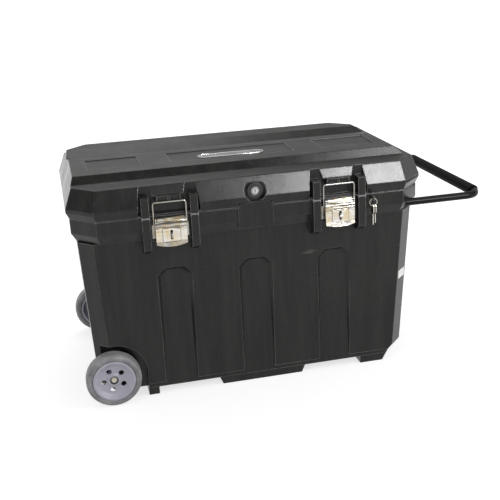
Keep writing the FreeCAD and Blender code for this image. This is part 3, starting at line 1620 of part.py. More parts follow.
# ---------------------------------------------------------------------------------------------
# Pull handle
# ---------------------------------------------------------------------------------------------
def build_handle():
    """The pull handle: a bent steel tube, its grip, and the stops, plugs and bushes of its arms."""
    outer = handle_bar("handle_outer", "tube_radius")
    inner = handle_bar("handle_inner", "tube_radius - tube_wall", overrun="1")
    keep("handle_tube", cut("handle_frame", outer, inner))
    half = "handle_y - handle_bend"
    keep(
        "handle_grip",
        tube("grip", "y", ("handle_reach", "handle_z"), "grip_radius", "tube_radius + fit_gap", (f"-({half})", half)),
    )
    for side, tag in ((-1, "front"), (1, "rear")):
        axis = (f"{side} * handle_y", "handle_z")
        stop_end = "bush_start - slide_gap"
        keep(
            f"handle_stop_{tag}",
            tube(f"stop_{tag}", "x", axis, "tunnel_radius - slide_gap", "tube_radius + fit_gap", (f"{stop_end} - stop_length", stop_end)),
        )
        keep(
            f"handle_bush_{tag}",
            tube(f"bush_{tag}", "x", axis, "tunnel_radius - fit_gap", "tube_radius + slide_gap", ("bush_start", "bush_start + bush_length")),
        )
        shank = rod(f"plug_shank_{tag}", "x", axis, "tube_radius - tube_wall - fit_gap", ("arm_start", "arm_start + 14"))
        head = rod(f"plug_head_{tag}", "x", axis, "tunnel_radius - slide_gap", ("arm_start - 4", "arm_start - 0.1"))
        neck = rod(f"plug_neck_{tag}", "x", axis, "tube_radius - tube_wall - fit_gap", ("arm_start - 1", "arm_start + 1"))
        keep(f"handle_plug_{tag}", fuse(f"plug_{tag}", [shank, head, neck]))


def handle_bar(name, radius, overrun="0"):
    """Two arms, a crossbar and two bends of a given radius."""
    bar_half = "handle_y - handle_bend"
    shapes = [
        rod(f"{name}_bar", "y", ("handle_reach", "handle_z"), radius, (f"-({bar_half})", bar_half))
    ]
    for side in (-1, 1):
        axis = (f"{side} * handle_y", "handle_z")
        shapes.append(
            rod(f"{name}_arm_{side + 2}", "x", axis, radius, (f"arm_start - {overrun}", "handle_reach - handle_bend"))
        )
        bend = DOC.addObject("Part::Torus", f"{name}_bend_{side + 2}")
        bend.Placement = Placement(Vector(), Rotation(Vector(0, 0, 1), 0 if side > 0 else -90))
        bend.Angle3 = 90
        bind(bend, Radius1="handle_bend", Radius2=radius)
        place(bend, "handle_reach - handle_bend", f"{side} * (handle_y - handle_bend)", "handle_z")
        shapes.append(bend)
    return fuse(name, shapes)


# ---------------------------------------------------------------------------------------------
# Tray
# ---------------------------------------------------------------------------------------------
def build_tray():
    """The lift-out tray that rests by its rim on the tub's shelves, and its folding handle."""
    rim = prism(
        "tray_rim",
        "xy",
        octagon("tray_length / 2", "tray_half", "tray_corner", "tray_start + tray_length / 2"),
        ("tray_rim_z", "tray_rim_z + 4"),
    )
    outer = prism(
        "tray_outer",
        "xy",
        octagon("tray_length / 2 - 6", "bin_half", "bin_corner", "tray_start + tray_length / 2"),
        ("bin_low", "tray_rim_z + 4"),
    )
    divider_x = "(tray_start + tray_divider)"
    wall = "tray_wall"
    floor = f"bin_low + {wall}"
    inside = prism(
        "tray_inside",
        "xy",
        octagon(
            f"tray_length / 2 - 6 - {wall}",
            f"bin_half - {wall}",
            f"bin_corner - 0.586 * {wall}",
            "tray_start + tray_length / 2",
        ),
        (floor, "seam_height"),
    )
    divider = box(
        "tray_divider",
        (f"{divider_x} - {wall} / 2", f"{divider_x} + {wall} / 2"),
        ("-bin_half", "bin_half"),
        ("bin_low", "seam_height"),
    )
    rooms = [cut("tray_rooms", inside, divider)]
    lowered = box(
        "tray_divider_dip",
        (f"{divider_x} - 20", f"{divider_x} + 20"),
        (f"-bin_half + {wall}", f"bin_half - {wall}"),
        ("tray_handle_z - 9", "seam_height"),
    )
    bosses = [
        rod(f"tray_boss_{side + 2}", "y", (divider_x, "tray_handle_z"), "9",
            (f"{side} * bin_half - 2.5 - 2.5 * {side}", f"{side} * bin_half + 2.5 - 2.5 * {side}"))
        for side in (-1, 1)
    ]
    holes = rod("tray_pin_holes", "y", (divider_x, "tray_handle_z"), "3 + running_gap", ("-mouth_y", "mouth_y"))
    shell = cut("tray_hollow", fuse("tray_full", [rim, outer]), *rooms, lowered)
    keep("tray", cut("tray_shell", fuse("tray_bossed", [shell] + bosses), holes))

    inner_face = "bin_half - 5 - slide_gap"
    arm_span = "tray_handle_thick"
    width = "tray_handle_width"
    arms = []
    for side in (-1, 1):
        near = f"{side} * ({inner_face} - {arm_span})"
        far = f"{side} * ({inner_face})"
        span = (near, far) if side > 0 else (far, near)
        arms.append(
            box(f"tray_arm_{side + 2}", (divider_x, f"{divider_x} + tray_handle_reach"), span,
                (f"tray_handle_z - {width} / 4", f"tray_handle_z + {width} / 4"))
        )
        arms.append(rod(f"tray_arm_eye_{side + 2}", "y", (divider_x, "tray_handle_z"), f"{width} / 4 + 2", span))
        pin_far = f"{side} * (bin_half + 0.5)"
        pin_span = (near, pin_far) if side > 0 else (pin_far, near)
        arms.append(rod(f"tray_arm_pin_{side + 2}", "y", (divider_x, "tray_handle_z"), "3", pin_span))
    bar = box(
        "tray_handle_bar",
        (f"{divider_x} + tray_handle_reach - {width}", f"{divider_x} + tray_handle_reach"),
        (f"-({inner_face})", inner_face),
        (f"tray_handle_z - {width} / 4", f"tray_handle_z + {width} / 4"),
    )
    keep("tray_handle", fuse("tray_handle_full", arms + [bar]))


# ---------------------------------------------------------------------------------------------
# Blank label on the front right corner of the tub
# ---------------------------------------------------------------------------------------------
def build_label():
    """A bare paper label on the tub's cut corner, tilted with the tapered wall."""
    corner = size("tub_corner")
    low = Vector(
        size("floor_length / 2 + floor_shift"), size("-floor_width / 2 + tub_corner"), size("apron_height")
    )
    high = Vector(size("tub_length / 2 + tub_shift"), size("-tub_width / 2 + tub_corner"), size("band_low"))
    along = Vector(1, 1, 0).normalize()
    normal = along.cross(high - low).normalize()
    up = normal.cross(along).normalize()
    share = (size("label_z") - low.z) / (high.z - low.z)
    middle = low + (high - low) * share - along * (corner * math.sqrt(2) / 2)
    turn = Rotation(along, up, normal, "ZXY")
    width, height = size("label_width"), size("label_height")
    sheet = Part.makeBox(width, height, 0.3, Vector(-width / 2, -height / 2, 0.02))
    label = DOC.addObject("Part::Feature", "label_sheet")
    label.Shape = sheet
    label.Placement = Placement(middle, turn)
    keep("blank_label", label)


# ---------------------------------------------------------------------------------------------
# Build, test and write
# ---------------------------------------------------------------------------------------------
def check_document():
    """Stop if any object failed, or any piece is empty or broken."""
    for thing in DOC.Objects:
        if "Invalid" in thing.State or "Error" in thing.State:
            raise RuntimeError(f"{thing.Name} failed: {thing.State}")
    for node, thing in PARTS.items():
        if thing.Shape.isNull() or not thing.Shape.isValid() or not thing.Shape.Solids:
            raise RuntimeError(f"{node} has no valid solid")


def write_parts():
    """Write one STEP file for each piece."""
    os.makedirs("parts", exist_ok=True)
    for node, thing in PARTS.items():
        thing.Shape.exportStep(os.path.join("parts", node + ".step"))


def main():
    fill_sheet()
    build_tub()
    build_lid()
    build_seal()
    build_badge()
    build_hinge_pins()
    build_latches()
    build_lock()
    build_keys()
    for side, tag in ((-1, "front"), (1, "rear")):
        build_wheel(side, tag)
    build_axle()
    build_handle()
    build_tray()
    build_label()
    DOC.recompute()
    check_document()
    write_parts()
    for node, thing in PARTS.items():
        shape = thing.Shape
        print(f"{node}: {len(shape.Solids)} solid(s), {shape.Volume / 1000:.1f} cm3")


main()
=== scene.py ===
import math

import bpy
from mathutils import Matrix, Vector


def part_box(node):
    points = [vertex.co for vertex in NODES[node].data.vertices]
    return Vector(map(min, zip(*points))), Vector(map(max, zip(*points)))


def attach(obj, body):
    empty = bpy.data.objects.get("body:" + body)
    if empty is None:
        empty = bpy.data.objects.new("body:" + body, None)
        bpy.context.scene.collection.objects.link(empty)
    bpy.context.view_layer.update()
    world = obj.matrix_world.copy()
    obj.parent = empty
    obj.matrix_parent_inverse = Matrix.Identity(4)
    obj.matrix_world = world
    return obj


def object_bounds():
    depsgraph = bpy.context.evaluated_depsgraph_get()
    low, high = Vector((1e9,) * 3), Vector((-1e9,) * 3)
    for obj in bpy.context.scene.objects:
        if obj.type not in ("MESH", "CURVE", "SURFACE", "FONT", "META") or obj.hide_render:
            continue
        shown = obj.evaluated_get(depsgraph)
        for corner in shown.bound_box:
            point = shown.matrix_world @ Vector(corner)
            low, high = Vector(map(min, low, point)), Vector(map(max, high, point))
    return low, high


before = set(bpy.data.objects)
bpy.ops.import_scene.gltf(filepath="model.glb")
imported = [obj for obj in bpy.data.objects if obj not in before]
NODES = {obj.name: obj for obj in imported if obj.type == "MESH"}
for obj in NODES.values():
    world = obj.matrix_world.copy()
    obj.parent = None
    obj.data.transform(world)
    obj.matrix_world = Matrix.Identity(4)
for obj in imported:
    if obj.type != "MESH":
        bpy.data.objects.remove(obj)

CAD_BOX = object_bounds()
MM = 0.001
SIDES = ("left", "right")

# The lens: its place in metres, its yaw, pitch and roll in degrees, and its focal length and
# middle in pixels of a render RENDER_WIDTH pixels wide
LENS_PLACE = (-0.4904, -2.4015, 1.1194)
LENS_TURN = (13.274, 17.257, -2.544)
FOCAL_LENGTH = 891.416
LENS_MIDDLE = (260.124, 227.462)
RENDER_WIDTH = 500
SENSOR_WIDTH = 36
FARTHEST_SEEN = 60

# The box's own places
AXLE = (-0.394, 0.0, 0.072)
SEAM_HEIGHT = 502 * MM
SKIRT_HEIGHT = 523.5 * MM
PANEL_FOOT, PANEL_EDGE = 572 * MM, 580 * MM
SCUFF_PLACE = (0.147, -0.257, 0.352)
SCUFF_SIZE = (0.026, 0.02, 0.007)

# Pieces of the scene alone
RIM_WIDTH = 3 * MM
RIM_CORNERS = 64
RIM_EDGE, RIM_EDGE_STEPS = 0.6 * MM, 2
CURL_RADIUS = 7.5 * MM
BEAD_RADIUS = 1.9 * MM
BEAD_CORNERS = 24
BEAD_EDGE, BEAD_EDGE_STEPS = 1 * MM, 3
BEAD_SHORTER = 3 * MM
BEAD_DROPS = {"upper": 4 * MM, "lower": 16.5 * MM}
SMOOTH_UNDER = math.radians(40)
ON_THE_MIDDLE = 1e-6

# Index of refraction: the pebbled skin shines less than the smooth plastics
PEBBLED_IOR = 1.37
SMOOTH_IOR = 1.5

# The studio: strengths where 1 is white, and distances in metres
FLOOR_SIZE = 30
ROOM_LEVEL = 0.46
SHEET_LEVEL = 0.80
NEAR_GLOW, FAR_GLOW = 0.71, 1.0
GLOW_STARTS, GLOW_ENDS = 0.8, 4.0
# name, place, what it points at, width and height, watts, and whether it shows in gloss and
# whether it lights dull surfaces
LAMPS = (
    ("overhead", (-0.3, 1.9, 3.0), (0, 0, 0.3), (2.0, 2.0), 30, True, True),
    ("front_right", (1.58, -2.75, 1.76), (0.35, -0.25, 0.55), (1.4, 0.5), 108, True, False),
    ("front_middle", (0.62, -3.0, 1.95), (0.2, -0.25, 0.55), (1.2, 1.2), 3, True, True),
    ("overhead_right", (1.35, -0.3, 3.0), (0.38, -0.19, 0.58), (0.6, 0.6), 12, True, False),
    ("right_end", (2.9, -1.0, 1.3), (0.4, 0, 0.35), (1.4, 1.4), 44, False, True),
    ("front_left", (-2.6, -1.9, 1.5), (-0.2, 0, 0.4), (1.4, 1.4), 16, False, True),
)

# Settings that many nodes share
PLUS = {"operation": "ADD"}
MINUS = {"operation": "SUBTRACT"}
TIMES = {"operation": "MULTIPLY"}
TIMES_PLUS = {"operation": "MULTIPLY_ADD"}
OVER = {"operation": "DIVIDE"}
HIGHER = {"operation": "MAXIMUM"}
UNSIGNED = {"operation": "ABSOLUTE"}
LENGTH = {"operation": "LENGTH"}
# a Mix node's colours are its inputs 6 and 7 and its output 2
COLOURS = {"data_type": "RGBA"}


# -------------------------------------------------------------------------------------------
# Camera
# -------------------------------------------------------------------------------------------
def set_camera():
    """A lens in front of the latches, a little above the lid and to the left."""
    yaw, pitch, roll = (math.radians(angle) for angle in LENS_TURN)
    ahead = Vector((math.sin(yaw) * math.cos(pitch), math.cos(yaw) * math.cos(pitch),
                    -math.sin(pitch)))
    right = ahead.cross(Vector((0, 0, 1))).normalized()
    up = right.cross(ahead)
    side = right * math.cos(roll) + up * math.sin(roll)
    top = up * math.cos(roll) - right * math.sin(roll)
    lens = bpy.data.cameras.new("lens")
    lens.sensor_fit = "HORIZONTAL"
    lens.sensor_width = SENSOR_WIDTH
    lens.lens = FOCAL_LENGTH * SENSOR_WIDTH / RENDER_WIDTH
    lens.shift_x = -(LENS_MIDDLE[0] - RENDER_WIDTH / 2) / RENDER_WIDTH
    lens.shift_y = (LENS_MIDDLE[1] - RENDER_WIDTH / 2) / RENDER_WIDTH
    lens.clip_end = FARTHEST_SEEN
    camera = bpy.data.objects.new("camera", lens)
    bpy.context.collection.objects.link(camera)
    turn = Matrix((side, top, -ahead)).transposed().to_4x4()
    camera.matrix_world = Matrix.Translation(Vector(LENS_PLACE)) @ turn
    bpy.context.scene.camera = camera


# -------------------------------------------------------------------------------------------
# Colours and nodes
# -------------------------------------------------------------------------------------------
def colour(code, share=1.0):
    """An sRGB hex value as linear RGBA, times a share."""
    parts = [int(code[i:i + 2], 16) / 255 for i in (1, 3, 5)]
    linear = [c / 12.92 if c <= 0.04045 else ((c + 0.055) / 1.055) ** 2.4 for c in parts]
    return (*(c * share for c in linear), 1.0)


def new_material(name):
    """A material with only its shader and its output, its node tree, and that shader."""
    material = bpy.data.materials.new(name)
    material.use_nodes = True
    shader = material.node_tree.nodes["Principled BSDF"]
    return material, material.node_tree, shader


def join(tree, made, **links):
    """Fill a node's inputs: each with a value, an output, or the first output of a node.

    An input goes by its name, with _ for a space, or by its number, as in i0.
    """
    for name, value in links.items():
        key = int(name[1:]) if name[0] == "i" and name[1:].isdigit() else name.replace("_", " ")
        socket = made.inputs[key]
        if isinstance(value, bpy.types.Node):
            value = value.outputs[0]
        if isinstance(value, bpy.types.NodeSocket):
            tree.links.new(value, socket)
        else:
            socket.default_value = value


def node(tree, kind, settings=None, **links):
    """Add a shader node: settings are its own properties, links its inputs."""
    made = tree.nodes.new("ShaderNode" + kind)
    for name, value in (settings or {}).items():
        if name == "ramp":
            ramp = made.color_ramp
            while len(ramp.elements) < len(value):
                ramp.elements.new(0.5)
            for stop, (position, shade) in zip(ramp.elements, value):
                stop.position = position
                stop.color = shade if isinstance(shade, tuple) else (shade, shade, shade, 1)
        else:
            setattr(made, name, value)
    join(tree, made, **links)
    return made


# -------------------------------------------------------------------------------------------
# Materials. Noise scales are in grains to a metre.
# -------------------------------------------------------------------------------------------
def scuff_mask(tree, place, facing, streaks):
    """Where the front wall is scraped, between two of its sunk panels."""
    spot = node(tree, "VectorMath", MINUS, i0=place, i1=SCUFF_PLACE)
    sized = node(tree, "VectorMath", OVER, i0=spot, i1=SCUFF_SIZE)
    reach = node(tree, "VectorMath", LENGTH, i0=sized).outputs["Value"]
    near = node(tree, "MapRange", Value=reach, From_Min=1.0, From_Max=0.3, To_Max=0.9)
    front = node(tree, "MapRange", Value=facing, From_Min=-0.8, From_Max=-0.95)
    broken = node(tree, "MapRange", Value=streaks, From_Min=0.44, From_Max=0.58)
    on_wall = node(tree, "Math", TIMES, i0=near, i1=front)
    return node(tree, "Math", TIMES, i0=on_wall, i1=broken)


def corner_wear_and_highlight(tree, place, cloud, depth):
    """How pale each corner is worn, with a painted highlight on it, and where the seam carries a
    painted highlight.

    A corner is where a way into the wall as short as depth comes out again.
    """
    inside = node(tree, "AmbientOcclusion", {"inside": True, "only_local": True, "samples": 8},
                  Distance=depth)
    # pale corners: part wear, part painted highlight
    edge_wear_and_highlight = node(tree, "MapRange", Value=inside.outputs["AO"], From_Min=0.97, From_Max=0.76)
    patch = node(tree, "MapRange", Value=cloud, From_Min=0.32, From_Max=0.60,
                 To_Min=0.10, To_Max=0.72)
    height = node(tree, "SeparateXYZ", Vector=place).outputs["Z"]
    # a painted highlight along the seam, on the lid's edge and the rim under it
    offset = node(tree, "Math", MINUS, i0=height, i1=SEAM_HEIGHT)
    apart = node(tree, "Math", UNSIGNED, i0=offset)
    seam_highlight_mask = node(tree, "MapRange", Value=apart, From_Min=6 * MM, From_Max=4 * MM)
    # things dragged over the lid wear the corners of its raised panel, and these corners carry a
    # painted highlight too
    panel_edge_rub_and_highlight = node(tree, "MapRange", Value=height, From_Min=PANEL_FOOT, From_Max=PANEL_EDGE,
                To_Max=0.62)
    # hands and straps wear the lid's skirt, and the tub as far under the seam; these corners carry
    # a painted highlight too
    above = node(tree, "Math", MINUS, i0=apart, i1=SKIRT_HEIGHT - SEAM_HEIGHT)
    beside = node(tree, "Math", UNSIGNED, i0=above)
    skirt_rub_and_highlight = node(tree, "MapRange", Value=beside, From_Min=11 * MM, From_Max=8 * MM,
                   To_Max=0.66)
    share = patch
    for part in (panel_edge_rub_and_highlight, skirt_rub_and_highlight, seam_highlight_mask):
        share = node(tree, "Math", HIGHER, i0=share, i1=part)
    return node(tree, "Math", TIMES, i0=edge_wear_and_highlight, i1=share), seam_highlight_mask


def moulded_body(name, depth):
    """Structural-foam polypropylene, black, from a spark-eroded mould.

    That gives a satin, finely pebbled skin with flow marks, which rubs pale at its corners; the
    corners and the seam also carry painted highlights.
    depth, less than the wall, is how far into the wall a corner is looked for.
    """
    material, tree, shader = new_material(name)
    place = node(tree, "TexCoord").outputs["Object"]
    # pebble of the eroded mould: finer on the real one, and drawn 1.2 mm wide so that it shows
    pebble = node(tree, "TexNoise", Vector=place, Scale=820.0, Detail=3.0, Roughness=0.6)
    # flow marks and old handling: cloudy over 90 mm
    cloud = node(tree, "TexNoise", Vector=place, Scale=11.0, Detail=5.0, Roughness=0.62)
    # fine rubbed specks, 5 mm apart
    speck = node(tree, "TexNoise", Vector=place, Scale=205.0, Detail=2.0, Roughness=0.7)
    specks = node(tree, "ValToRGB", {"ramp": [(0.66, 0.0), (0.80, 1.0)]}, Fac=speck)
    # runs of dirt down the walls, 40 mm wide and 450 mm long
    stretch = node(tree, "Mapping", Vector=place, Scale=(26.0, 26.0, 2.2))
    run = node(tree, "TexNoise", Vector=stretch, Scale=1.0, Detail=5.0, Roughness=0.7)
    runs = node(tree, "MapRange", Value=run, From_Min=0.40, From_Max=0.66, To_Max=0.34)
    # drag marks from lifting, 110 mm long and 7 mm wide, along X
    level = node(tree, "Mapping", Vector=place, Scale=(9.0, 150.0, 150.0))
    drag = node(tree, "TexNoise", Vector=level, Scale=1.0, Detail=4.0, Roughness=0.75)
    drags = node(tree, "ValToRGB", {"ramp": [(0.64, 0.0), (0.80, 1.0)]}, Fac=drag)
    clean = node(tree, "Mix", COLOURS, Factor=cloud, i6=colour("#0b0a0a"), i7=colour("#1d1b19"))
    worn = node(tree, "Mix", COLOURS, Factor=runs, i6=clean.outputs[2], i7=colour("#3f3d3b"))
    # what lies flat carries a little dust
    facing = node(tree, "SeparateXYZ", Vector=node(tree, "NewGeometry").outputs["Normal"])
    flat = node(tree, "MapRange", Value=facing.outputs["Z"], From_Min=0.86, From_Max=1.0)
    dust = node(tree, "Math", TIMES, i0=flat, i1=0.08)
    dusty = node(tree, "Mix", COLOURS, Factor=dust, i6=worn.outputs[2], i7=colour("#5b5955"))
    # specks, drag marks, worn corners and the scrape show the pale plastic under the skin; the
    # corners and the seam also carry painted highlights
    speck_share = node(tree, "Math", TIMES, i0=specks, i1=0.07)
    marks = node(tree, "Math", TIMES_PLUS, i0=drags, i1=0.10, i2=speck_share)
    corners, seam_highlight_mask = corner_wear_and_highlight(tree, place, cloud, depth)
    scuffs = scuff_mask(tree, place, facing.outputs["Y"], drag)
    rubbed_and_highlit = node(tree, "Math", PLUS, i0=corners, i1=scuffs)
    total = node(tree, "Math", {**PLUS, "use_clamp": True}, i0=marks, i1=rubbed_and_highlit)
    # pale plastic at worn corners, and a brighter painted highlight along the seam
    pale_wear_and_highlight_colour = node(tree, "Mix", COLOURS, Factor=seam_highlight_mask, i6=colour("#8b8987"), i7=colour("#bcbabc"))
    final = node(tree, "Mix", COLOURS, Factor=total, i6=dusty.outputs[2], i7=pale_wear_and_highlight_colour.outputs[2])
    # what lies flat is scratched duller than the walls
    rough = node(tree, "MapRange", Value=cloud, From_Min=0.3, From_Max=0.7,
                 To_Min=0.20, To_Max=0.30)
    duller = node(tree, "Math", TIMES_PLUS, i0=flat, i1=0.22, i2=rough)
    soft = node(tree, "Bevel", {"samples": 6}, Radius=3.4 * MM)
    bump = node(tree, "Bump", Strength=0.3, Distance=0.3 * MM, Height=pebble, Normal=soft)
    join(tree, shader, Base_Color=final.outputs[2], Roughness=duller, Normal=bump,
         IOR=PEBBLED_IOR)
    return material


def smooth_plastic(name, code, rough):
    """Injection-moulded plastic: smooth and of an even colour, faintly cloudy and grained."""
    material, tree, shader = new_material(name)
    place = node(tree, "TexCoord").outputs["Object"]
    # cloudy over 22 mm, with a grain drawn coarse, 1.1 mm, so that it shows
    cloud = node(tree, "TexNoise", Vector=place, Scale=45.0, Detail=4.0, Roughness=0.6)
    grain = node(tree, "TexNoise", Vector=place, Scale=900.0, Detail=2.0, Roughness=0.5)
    tint = node(tree, "Mix", COLOURS, Factor=cloud, i6=colour(code, 0.84), i7=colour(code, 1.14))
    gloss = node(tree, "MapRange", Value=cloud, From_Min=0.3, From_Max=0.7,
                 To_Min=rough - 0.06, To_Max=rough + 0.08)
    soft = node(tree, "Bevel", {"samples": 4}, Radius=0.8 * MM)
    bump = node(tree, "Bump", Strength=0.2, Distance=0.2 * MM, Height=grain, Normal=soft)
    join(tree, shader, Base_Color=tint.outputs[2], Roughness=gloss, Normal=bump, IOR=SMOOTH_IOR)
    return material


def hub_plastic():
    """Glass-filled polypropylene, moulded smooth: pale violet grey, with painted shade round its
    cap.
    """
    material = smooth_plastic("grey_hub_polypropylene", "#bfbdca", 0.4)
    tree = material.node_tree
    shader = tree.nodes["Principled BSDF"]
    place = node(tree, "TexCoord").outputs["Object"]
    # the way from the axle's line, across it
    spoke = node(tree, "VectorMath", TIMES_PLUS, i0=place, i1=(1, 0, 1),
                 i2=tuple(-c for c in AXLE))
    radius = node(tree, "VectorMath", LENGTH, i0=spoke).outputs["Value"]
    # painted shade round the cap, dark out to 12.5 mm from the axle
    painted_cap_shade = node(tree, "MapRange", Value=radius, From_Min=12.5 * MM, From_Max=10.5 * MM,
                To_Max=0.92)
    plain = shader.inputs["Base Color"].links[0].from_socket
    tint = node(tree, "Mix", COLOURS, Factor=painted_cap_shade, i6=plain, i7=colour("#101010"))
    join(tree, shader, Base_Color=tint.outputs[2])
    return material


def grey_tyre():
    """Non-marking polyethylene, blow-moulded: dull grey, grained, with floor grime in blotches."""
    material, tree, shader = new_material("grey_blown_tread")
    place = node(tree, "TexCoord").outputs["Object"]
    # blotches 26 mm across, and a grain of 2 mm
    cloud = node(tree, "TexNoise", Vector=place, Scale=38.0, Detail=6.0, Roughness=0.68)
    grain = node(tree, "TexNoise", Vector=place, Scale=520.0, Detail=3.0, Roughness=0.6)
    greys = [(0.30, colour("#737375")), (0.52, colour("#949496")), (0.72, colour("#acacae"))]
    tint = node(tree, "ValToRGB", {"ramp": greys}, Fac=cloud)
    soft = node(tree, "Bevel", {"samples": 4}, Radius=1.5 * MM)
    bump = node(tree, "Bump", Strength=0.4, Distance=0.3 * MM, Height=grain, Normal=soft)
    join(tree, shader, Base_Color=tint, Roughness=0.62, Normal=bump, IOR=SMOOTH_IOR)
    return material


def bright_metal(name, pale, warm, rough):
    """Pressed or cast metal, plated or polished: mirror-like, with cloudy patches and lines."""
    material, tree, shader = new_material(name)
    place = node(tree, "TexCoord").outputs["Object"]
    # patches and shallow dents 38 mm across
    cloud = node(tree, "TexNoise", Vector=place, Scale=26.0, Detail=3.0, Roughness=0.55,
                 Distortion=0.8)
    # rolling lines 0.7 mm apart, 18 mm long
    stretch = node(tree, "Mapping", Vector=place, Scale=(1.0, 1.0, 26.0))
    lines = node(tree, "TexNoise", Vector=stretch, Scale=55.0, Detail=3.0, Roughness=0.6)
    tints = [(0.38, colour(pale)), (0.66, colour(warm))]
    tint = node(tree, "ValToRGB", {"ramp": tints}, Fac=cloud)
    gloss = node(tree, "MapRange", Value=cloud, From_Min=0.3, From_Max=0.7,
                 To_Min=rough, To_Max=rough + 0.12)
    soft = node(tree, "Bevel", {"samples": 4}, Radius=0.9 * MM)
    dents = node(tree, "Bump", Strength=0.55, Distance=1.6 * MM, Height=cloud, Normal=soft)
    bump = node(tree, "Bump", Strength=0.16, Distance=0.3 * MM, Height=lines, Normal=dents)
    join(tree, shader, Base_Color=tint, Metallic=1.0, Roughness=gloss, Normal=bump)
    return material


def lever_pressing():
    """Pressed steel, zinc-plated and yellow-passivated: painted dark reflections across its curl,
    painted shade in its corners.
    """
    material = bright_metal("yellow_zinc_pressing", "#d8d6d0", "#cfbd99", 0.10)
    tree = material.node_tree
    shader = tree.nodes["Principled BSDF"]
    place = node(tree, "TexCoord").outputs["Object"]
    # painted dark reflections across the curl, 5 mm apart and as wide as the lever
    flat = node(tree, "Mapping", Vector=place, Scale=(16.0, 60.0, 190.0))
    band = node(tree, "TexNoise", Vector=flat, Scale=1.0, Detail=4.0, Roughness=0.6)
    bands = node(tree, "MapRange", Value=band, From_Min=0.44, From_Max=0.56)
    pin_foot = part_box("latch_left_pivot_pin")[0][2]
    height = node(tree, "SeparateXYZ", Vector=place).outputs["Z"]
    curl = node(tree, "MapRange", Value=height, From_Min=pin_foot - 30 * MM,
                From_Max=pin_foot - 16 * MM, To_Min=0.12, To_Max=0.85)
    share = node(tree, "Math", TIMES, i0=bands, i1=curl)
    plain = shader.inputs["Base Color"].links[0].from_socket
    with_painted_reflections = node(tree, "Mix", COLOURS, Factor=share, i6=plain, i7=colour("#4f4d4a"))
    # painted shade in the corners round the embossed square
    open_sky = node(tree, "AmbientOcclusion", {"only_local": True, "samples": 8},
                    Distance=4 * MM)
    corner = node(tree, "MapRange", Value=open_sky.outputs["AO"], From_Min=0.97, From_Max=0.70,
                  To_Max=0.85)
    with_painted_corner_shade = node(tree, "Mix", COLOURS, Factor=corner, i6=with_painted_reflections.outputs[2], i7=colour("#3a342d"))
    join(tree, shader, Base_Color=with_painted_corner_shade.outputs[2])
    return material


def powder_coat():
    """Steel tube, powder-coated black: satin, with an orange-peel skin of 2.6 mm."""
    material, tree, shader = new_material("black_powder_coated_tube")
    place = node(tree, "TexCoord").outputs["Object"]
    peel = node(tree, "TexNoise", Vector=place, Scale=380.0, Detail=2.0, Roughness=0.5)
    cloud = node(tree, "TexNoise", Vector=place, Scale=30.0, Detail=4.0, Roughness=0.6)
    blacks = [(0.35, colour("#111112")), (0.7, colour("#1d1d1e"))]
    tint = node(tree, "ValToRGB", {"ramp": blacks}, Fac=cloud)
    bump = node(tree, "Bump", Strength=0.25, Distance=0.3 * MM, Height=peel)
    join(tree, shader, Base_Color=tint, Roughness=0.34, Normal=bump, Specular_IOR_Level=0.12)
    return material


def black_rubber(name, code, rough):
    """Moulded rubber: soft black with a dry bloom over 17 mm and a grain of 1.4 mm."""
    material, tree, shader = new_material(name)
    place = node(tree, "TexCoord").outputs["Object"]
    bloom = node(tree, "TexNoise", Vector=place, Scale=60.0, Detail=5.0, Roughness=0.65)
    grain = node(tree, "TexNoise", Vector=place, Scale=700.0, Detail=2.0)
    tint = node(tree, "Mix", COLOURS, Factor=bloom, i6=colour(code), i7=colour(code, 1.9))
    bump = node(tree, "Bump", Strength=0.3, Distance=0.2 * MM, Height=grain)
    join(tree, shader, Base_Color=tint.outputs[2], Roughness=rough, Normal=bump,
         Specular_IOR_Level=0.08)
    return material


def label_paper():
    """Coated label paper: white, with a faint fibre and grubby patches of 14 mm."""
    material, tree, shader = new_material("white_label_paper")
    place = node(tree, "TexCoord").outputs["Object"]
    # the fibre is drawn coarse, 2.5 mm, so that it shows
    fibre = node(tree, "TexNoise", Vector=place, Scale=400.0, Detail=5.0)
    grime = node(tree, "TexNoise", Vector=place, Scale=70.0, Detail=4.0)
    whites = [(0.35, colour("#e8e8e6")), (0.6, colour("#fbfbfa"))]
    tint = node(tree, "ValToRGB", {"ramp": whites}, Fac=grime)
    bump = node(tree, "Bump", Strength=0.15, Distance=0.1 * MM, Height=fibre)
    join(tree, shader, Base_Color=tint, Roughness=0.6, Normal=bump)
    return material


